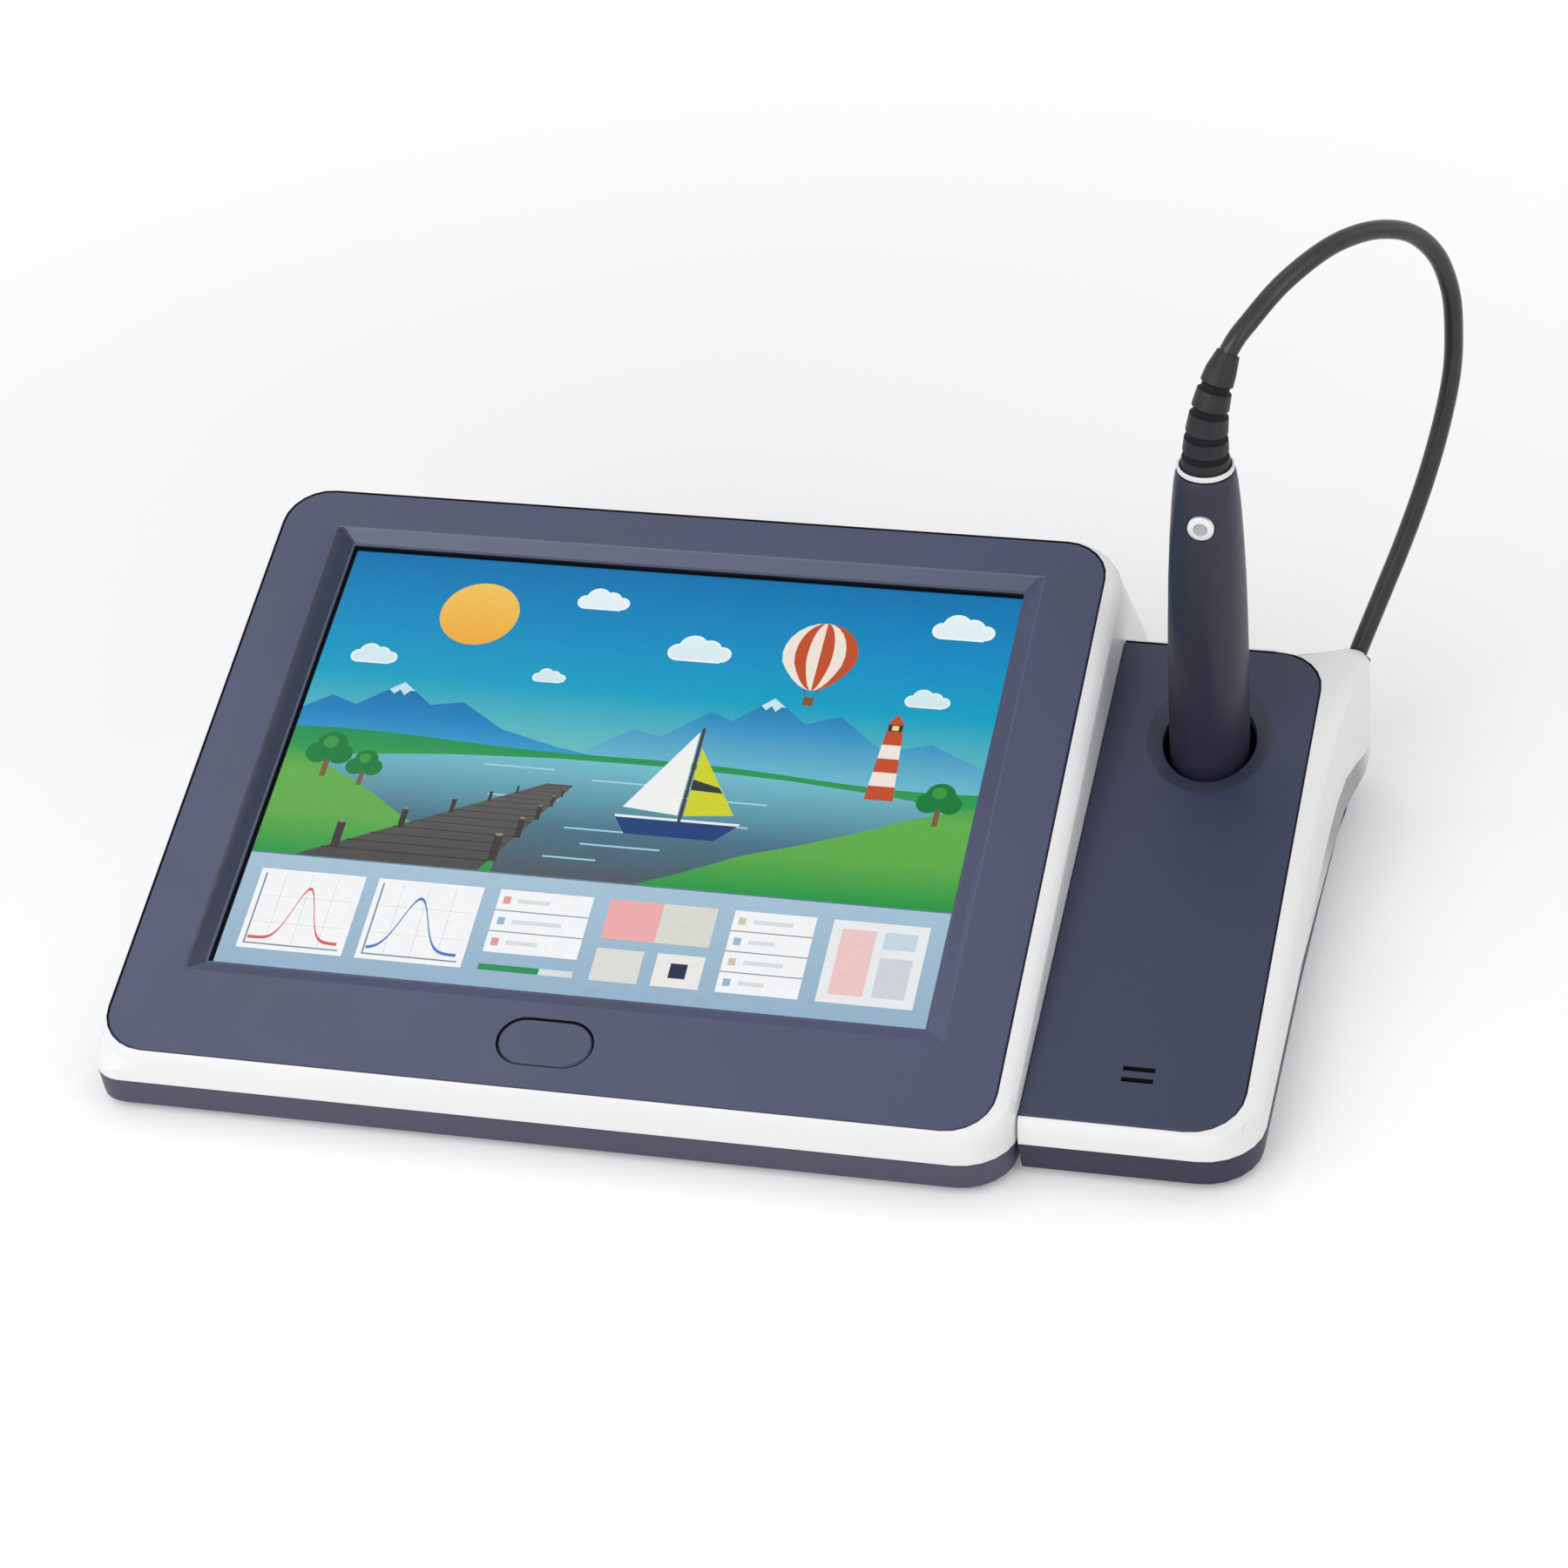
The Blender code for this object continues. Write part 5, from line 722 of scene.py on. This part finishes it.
def peaks(points, foot, colour, cap, snow=3.2):
    """A range of mountains, the highest with a snow cap."""
    under(points, foot, colour)
    top = max(range(1, len(points) - 1), key=lambda i: points[i][1])
    (xa, ya), (xb, yb), (xc, yc) = points[top - 1], points[top], points[top + 1]
    left = (xb - (xb - xa) * snow / (yb - ya), yb - snow)
    right = (xb + (xc - xb) * snow / (yb - yc), yb - snow)
    wide = right[0] - left[0]
    draw([left, (left[0] + wide * 0.22, yb - snow * 1.5), (left[0] + wide * 0.42, yb - snow * 0.95),
          (left[0] + wide * 0.62, yb - snow * 1.6), (left[0] + wide * 0.82, yb - snow * 1.0), right,
          (xb, yb)], cap)


FAR = upright([(84, linear(110, 184, 204)), (104, linear(44, 142, 192)), (118, linear(22, 104, 160))])
NEAR = upright([(80, linear(70, 168, 206)), (96, linear(18, 130, 190)), (112, linear(8, 100, 164))])
peaks([(92, 90), (104, 99), (113, 97), (126, 108), (133, 105), (144, 115), (155, 106), (165, 110),
       (180, 98), (194, 102), (SCREEN_WIDE, 94)], 80, FAR, linear(196, 230, 238))
peaks([(0, 97), (9, 103), (17, 100), (30, 110), (40, 102), (50, 104), (64, 95), (82, 90), (104, 86)],
      78, NEAR, linear(188, 226, 236))

# shores, lake and fields
BACK_FIELD = upright([(72, linear(60, 166, 74)), (92, linear(12, 138, 82))])
LAKE = upright([(STRIP_TOP, linear(74, 84, 92)), (60, linear(70, 112, 132)), (88, linear(116, 192, 208))])
FIELD = upright([(STRIP_TOP, linear(26, 148, 66)), (58, linear(92, 170, 70)), (74, linear(96, 172, 74)),
                 (86, linear(20, 142, 74))])
under(hilly(0, SCREEN_WIDE, 44, 88.5, 2.6, 0.4, -2.0), 60, BACK_FIELD)
under([(0, 78), (26, 81.5), (52, 84), (84, 85.6), (120, 85.8), (154, 84.4), (184, 81.8), (SCREEN_WIDE, 78)],
      STRIP_TOP, LAKE)
under(hilly(0, 74, 24, 83, 2.2, 1.6, -38.0), STRIP_TOP, FIELD)
under([(118, STRIP_TOP + 0.3), (130, 47.5), (146, 55.5), (162, 61), (176, 66.5), (192, 73.5),
       (SCREEN_WIDE, 80)], STRIP_TOP, FIELD)
for y, x0, x1 in ((81, 62, 84), (78.2, 96, 132), (74.4, 118, 150), (70, 66, 88), (65.4, 126, 146),
                  (60, 92, 110), (54.6, 98, 122), (49, 88, 104)):
    block(x0, y, x1, y + 0.6, linear(158, 208, 220))

# landing stage, boat, tower and trees
DECK = upright([(STRIP_TOP, linear(70, 68, 68)), (78, linear(92, 90, 90))])
PLANK = linear(52, 50, 50)
near_left = (14.0, STRIP_TOP)
near_right = (70.0, STRIP_TOP)
far_left = (83.0, 76.0)
far_right = (91.0, 76.0)
draw([near_left, near_right, far_right, far_left], DECK)
for k in range(1, 16):
    share = 1.0 - (1.0 - k / 16) ** 1.7
    a = [near_left[i] + (far_left[i] - near_left[i]) * share for i in (0, 1)]
    b = [near_right[i] + (far_right[i] - near_right[i]) * share for i in (0, 1)]
    thick = 0.42 * (1.0 - share) + 0.12
    draw([a, b, (b[0] + 0.1, b[1] + thick), (a[0] + 0.1, a[1] + thick)], PLANK)
for share in (0.16, 0.42, 0.62, 0.77, 0.88):
    size = 1.0 - share * 0.86
    for first, second in ((near_left, far_left), (near_right, far_right)):
        x = first[0] + (second[0] - first[0]) * share
        y = first[1] + (second[1] - first[1]) * share
        block(x - 1.5 * size, y - 2.0 * size, x + 1.5 * size, y + 9.5 * size, linear(58, 50, 48))
        disc(x, y + 9.5 * size, 1.5 * size, 0.6 * size, linear(148, 132, 118), 14)
HULL = linear(22, 60, 120)
draw([(106, 66), (110, 60), (137, 60), (143, 66)], HULL)
draw([(105.8, 66.9), (106, 66), (143, 66), (143.6, 66.9)], linear(232, 236, 236))
draw([(124.4, 68.2), (124.4, 100), (107.5, 69.8)], linear(238, 240, 236))
draw([(126.2, 68.2), (126.2, 94), (141, 69.8)], linear(204, 208, 40))
draw([(126.2, 78), (126.2, 82), (134.6, 79.6), (136.0, 77.6)], linear(40, 52, 60))
block(124.8, 66, 125.8, 101.5, linear(70, 62, 58))
for k in range(5):
    low, high = 80 + 5.2 * k, 80 + 5.2 * (k + 1)
    half_low, half_high = 4.3 - 0.36 * k, 4.3 - 0.36 * (k + 1)
    draw([(182 - half_low, low), (182 + half_low, low), (182 + half_high, high), (182 - half_high, high)],
         linear(238, 228, 220) if k % 2 else linear(192, 76, 40))
block(179.8, 106, 184.2, 108.6, linear(46, 54, 70))
block(181.0, 106.4, 183.0, 108.2, linear(240, 214, 120))
draw([(179.4, 108.6), (184.6, 108.6), (182, 112.6)], linear(192, 76, 40))
for cx, cy, size in ((14, 80, 5.6), (26, 76, 4.4), (200, 80, 5.2)):
    block(cx - 0.16 * size, cy - 1.5 * size, cx + 0.16 * size, cy, linear(126, 88, 52))
    for dx, dy, r in ((-0.6, 0.1, 0.72), (0.6, 0.1, 0.7), (0.0, 0.7, 0.86)):
        disc(cx + dx * size, cy + dy * size, r * size, r * size, linear(14, 122, 56), 20)
    disc(cx - 0.1 * size, cy + 0.85 * size, 0.42 * size, 0.42 * size, linear(56, 150, 66), 16)

# strip of unlettered tiles
block(0, 0, SCREEN_WIDE, STRIP_TOP, upright([(0, linear(146, 176, 200)), (STRIP_TOP, linear(164, 192, 212))]))
block(0, STRIP_TOP - 0.5, SCREEN_WIDE, STRIP_TOP, linear(96, 120, 140))
CARD = linear(242, 243, 244)
MIST = linear(214, 219, 222)
LINE = linear(120, 132, 146)


def chart(x0, y0, x1, y1, colour, peak, spread):
    """A card with a grid and one smooth curve with a peak."""
    block(x0, y0, x1, y1, CARD)
    for k in range(1, 4):
        x = x0 + (x1 - x0) * k / 4
        block(x - 0.12, y0 + 1.5, x + 0.12, y1 - 1.5, MIST)
    for k in range(1, 3):
        y = y0 + (y1 - y0) * k / 3
        block(x0 + 1.5, y - 0.12, x1 - 1.5, y + 0.12, MIST)
    top, base = [], []
    for k in range(27):
        share = k / 26
        x = x0 + 2.4 + (x1 - x0 - 4.8) * share
        y = y0 + 4.0 + (y1 - y0 - 10.0) * math.exp(-((share - peak) / spread) ** 2)
        top.append((x, y + 0.55))
        base.append((x, y - 0.55))
    draw(base + list(reversed(top)), colour)
    block(x0 + 1.6, y0 + 1.6, x0 + 2.1, y1 - 1.6, LINE)
    block(x0 + 1.6, y0 + 1.6, x1 - 1.6, y0 + 2.1, LINE)


def rows(x0, y0, x1, y1, count, marks):
    """A card ruled in rows, each with a small block."""
    block(x0, y0, x1, y1, CARD)
    high = (y1 - y0) / count
    for k in range(count):
        if k:
            block(x0, y0 + high * k - 0.18, x1, y0 + high * k + 0.18, LINE)
        block(x0 + 1.6, y0 + high * (k + 0.32), x0 + 3.8, y0 + high * (k + 0.68), marks[k % len(marks)])
        block(x0 + 6.0, y0 + high * (k + 0.40), x0 + 6.0 + (x1 - x0 - 9.0) * (0.5 + 0.14 * ((k * 2) % 4)),
              y0 + high * (k + 0.60), MIST)


chart(6, 7, 38, 36, linear(212, 92, 84), 0.52, 0.16)
chart(42, 7, 74, 36, linear(70, 120, 190), 0.44, 0.2)
rows(79, 13.5, 107, 36, 3, [linear(226, 150, 150), linear(150, 180, 206)])
block(79, 7, 107, 9.2, linear(214, 220, 224))
block(79, 7, 97, 9.2, linear(22, 142, 84))
block(112, 22, 128, 36, linear(236, 170, 170))
block(128, 22, 144, 36, linear(216, 216, 208))
block(112, 7, 126, 18.5, linear(218, 218, 214))
block(130, 7, 144, 18.5, linear(232, 232, 228))
block(134.5, 10.2, 139.5, 15.4, linear(30, 38, 74))
rows(149, 7, 173, 36, 4, [linear(150, 180, 206), linear(206, 198, 170)])
block(178, 7, 206, 36, linear(232, 234, 236))
block(181, 10, 191, 33, linear(236, 196, 196))
block(193.5, 10, 203, 24, linear(206, 210, 216))
block(193.5, 27, 203, 33, linear(196, 214, 226))

# the window's shadow on the glass, along the rear and left edges
SHADOW = linear(8, 10, 16)
block(0, 0, 0.9, SCREEN_HIGH, SHADOW)
block(0, SCREEN_HIGH - 0.8, SCREEN_WIDE, SCREEN_HIGH, SHADOW)


def picture():
    """The screen: one slab, its upper face cut along every outline and coloured per corner."""
    points, faces = [], []
    for outline, _ in shapes:
        start = len(points)
        points += outline
        faces.append(list(range(start, start + len(outline))))
    verts, _, tris, _, _, owners = delaunay_2d_cdt(points, [], faces, 1, 0.002, True)
    builder = bmesh.new()
    tint = builder.loops.layers.float_color.new("tint")
    up = display @ Matrix.Translation((0.0, 0.0, -GLASS_DROP * MM))
    made = [builder.verts.new(up @ Vector((v.x * MM, v.y * MM, 0.0))) for v in verts]
    for tri, owner in zip(tris, owners):
        if not owner:
            continue
        colour = shapes[max(owner)][1]
        corners = [verts[i] for i in tri]
        area = (corners[1] - corners[0]).cross(corners[2] - corners[0])
        order = list(tri) if area > 0 else list(reversed(tri))
        try:
            face = builder.faces.new([made[i] for i in order])
        except ValueError:
            continue
        for loop, i in zip(face.loops, order):
            value = colour(verts[i].x, verts[i].y) if callable(colour) else colour
            loop[tint] = (*value, 1.0)
    loose = [v for v in builder.verts if not v.link_faces]
    for v in loose:
        builder.verts.remove(v)
    edge = {}
    for x in (GLASS_LEFT, GLASS_RIGHT):
        for y in (GLASS_FRONT, GLASS_REAR):
            place = up @ Vector((x * MM, y * MM, 0.0))
            edge[(x, y)] = min(builder.verts, key=lambda v: (v.co - place).length)
    foot = {(x, y): builder.verts.new(up @ Vector((x * MM, y * MM, -GLASS_THICK * MM))) for x, y in edge}
    loop_order = [(GLASS_LEFT, GLASS_FRONT), (GLASS_RIGHT, GLASS_FRONT), (GLASS_RIGHT, GLASS_REAR),
                  (GLASS_LEFT, GLASS_REAR)]
    dark = (*GLASS_DARK, 1.0)
    added = [builder.faces.new([foot[k] for k in reversed(loop_order)])]
    for a, b in zip(loop_order, loop_order[1:] + loop_order[:1]):
        added.append(builder.faces.new((foot[a], foot[b], edge[b], edge[a])))
    for face in added:
        for loop in face.loops:
            loop[tint] = dark
    return builder


screen_tree = Tree("screen_picture")
tint_node = screen_tree.add("ShaderNodeAttribute", attribute_name="tint")
veil = screen_tree.spread(screen_tree.noise(520.0, 1.0), 0.965, 1.0)
dimmed = screen_tree.add("ShaderNodeVectorMath", operation="SCALE")
screen_tree.links.new(tint_node.outputs["Color"], dimmed.inputs[0])
screen_tree.links.new(veil, dimmed.inputs["Scale"])
screen_tree.link(dimmed.outputs["Vector"], "Emission Color")
screen_tree.set("Emission Strength", 1.0)
ink = [(0.3, (0.002, 0.002, 0.003)), (0.7, (0.004, 0.004, 0.005))]
screen_tree.link(screen_tree.ramp(screen_tree.noise(30.0, 2.0), ink), "Base Color")
screen_tree.link(screen_tree.spread(screen_tree.noise(240.0, 3.0), 0.16, 0.24), "Roughness")
screen_tree.set("Specular IOR Level", 0.1)
screen = new_object("touch_screen", picture(), screen_tree.material)
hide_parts("touch_glass")
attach(screen, "housing")


# ---------------------------------------------------------------- floor, world and lamps

floor_builder = bmesh.new()
FLOOR_HALF = 6.0
corners = ((-FLOOR_HALF, -FLOOR_HALF), (FLOOR_HALF, -FLOOR_HALF), (FLOOR_HALF, FLOOR_HALF),
           (-FLOOR_HALF, FLOOR_HALF))
floor_builder.faces.new([floor_builder.verts.new((x, y, 0.0)) for x, y in corners])
floor_tree = Tree("studio_floor")
pale = floor_tree.ramp(floor_tree.noise(3.0, 3.0), [(0.3, (0.92, 0.92, 0.92)), (0.7, (0.94, 0.94, 0.94))])
floor_tree.link(pale, "Base Color")
floor_tree.set("Roughness", 0.9)
floor_tree.set("Specular IOR Level", 0.0)


def background_rays(tree_nodes, links):
    """1 for the rays that show the backdrop: seen by the camera, mirrored or let through, else 0."""
    path = tree_nodes.new("ShaderNodeLightPath")
    total = path.outputs["Is Camera Ray"]
    for other in ("Is Glossy Ray", "Is Transmission Ray"):
        adder = tree_nodes.new("ShaderNodeMath")
        adder.operation = "ADD"
        adder.use_clamp = True
        links.new(total, adder.inputs[0])
        links.new(path.outputs[other], adder.inputs[1])
        total = adder.outputs["Value"]
    return total


# seen from the camera or in a mirror, the floor is lifted a little and fades to white away from the object
FLOOR_LIFT = 0.15
FADE_START = 0.2
FADE_END = 0.6
seen = background_rays(floor_tree.nodes, floor_tree.links)
glow = floor_tree.add("ShaderNodeEmission")
floor_tree.links.new(floor_tree.times(seen, FLOOR_LIFT), glow.inputs["Strength"])
lifted = floor_tree.add("ShaderNodeAddShader")
floor_tree.links.new(floor_tree.shader.outputs["BSDF"], lifted.inputs[0])
floor_tree.links.new(glow.outputs["Emission"], lifted.inputs[1])
away = floor_tree.add("ShaderNodeVectorMath", operation="LENGTH")
floor_tree.links.new(floor_tree.place, away.inputs[0])
fade = floor_tree.add("ShaderNodeMapRange", interpolation_type="SMOOTHSTEP")
fade.inputs["From Min"].default_value = FADE_START
fade.inputs["From Max"].default_value = FADE_END
floor_tree.links.new(away.outputs["Value"], fade.inputs["Value"])
white = floor_tree.add("ShaderNodeEmission")
whole = floor_tree.add("ShaderNodeMixShader")
floor_tree.links.new(floor_tree.times(seen, fade.outputs["Result"]), whole.inputs["Fac"])
floor_tree.links.new(lifted.outputs["Shader"], whole.inputs[1])
floor_tree.links.new(white.outputs["Emission"], whole.inputs[2])
floor_tree.links.new(whole.outputs["Shader"], floor_tree.nodes["Material Output"].inputs["Surface"])
floor = new_object("studio_floor", floor_builder, floor_tree.material)

world = bpy.data.worlds.new("studio")
scene.world = world
world.use_nodes = True
world_nodes = world.node_tree.nodes
world_links = world.node_tree.links
background = world_nodes["Background"]
background.inputs["Color"].default_value = (0.54, 0.544, 0.555, 1.0)
background.inputs["Strength"].default_value = 1.0
backdrop = world_nodes.new("ShaderNodeBackground")
backdrop.inputs["Color"].default_value = (1.0, 1.0, 1.0, 1.0)
pick = world_nodes.new("ShaderNodeMixShader")
world_links.new(background_rays(world_nodes, world_links), pick.inputs["Fac"])
world_links.new(background.outputs["Background"], pick.inputs[1])
world_links.new(backdrop.outputs["Background"], pick.inputs[2])
world_links.new(pick.outputs["Shader"], world_nodes["World Output"].inputs["Surface"])


def aimed(name, data, place, target=(0.0, 0.0, 0.04)):
    """Puts a lamp at a place, looking at the target."""
    lamp = bpy.data.objects.new(name, data)
    scene.collection.objects.link(lamp)
    lamp.location = place
    lamp.rotation_euler = (Vector(place) - Vector(target)).to_track_quat("Z", "Y").to_euler()
    return lamp


def softbox(name, wide, high, power, place, target):
    """A rectangular lamp; sizes in metres, power in watts."""
    data = bpy.data.lights.new(name, "AREA")
    data.shape = "RECTANGLE"
    data.size = wide
    data.size_y = high
    data.energy = power
    return aimed(name, data, place, target)


def sunlight(name, strength, degrees, place):
    """Parallel light from the direction of a place, softened over an angle."""
    data = bpy.data.lights.new(name, "SUN")
    data.energy = strength
    data.angle = math.radians(degrees)
    return aimed(name, data, place)


sunlight("soft_key", 0.68, 35.0, (-0.35, -0.85, 0.7))
sunlight("sheen", 0.10, 10.0, (-0.30, 0.29, 0.91))
softbox("left_box", 0.35, 0.35, 0.60, (-0.42, -0.38, 0.48), (-0.08, -0.08, 0.04))
softbox("front_box", 0.35, 0.3, 0.35, (-0.22, -0.5, 0.38), (-0.05, -0.11, 0.03))
softbox("right_box", 0.4, 0.8, 1.25, (0.75, -0.35, 0.5), (0.15, 0.0, 0.06))
softbox("rim_box", 0.3, 0.8, 0.4, (0.75, 0.35, 0.45), (0.17, 0.09, 0.12))

low, high = cad_box
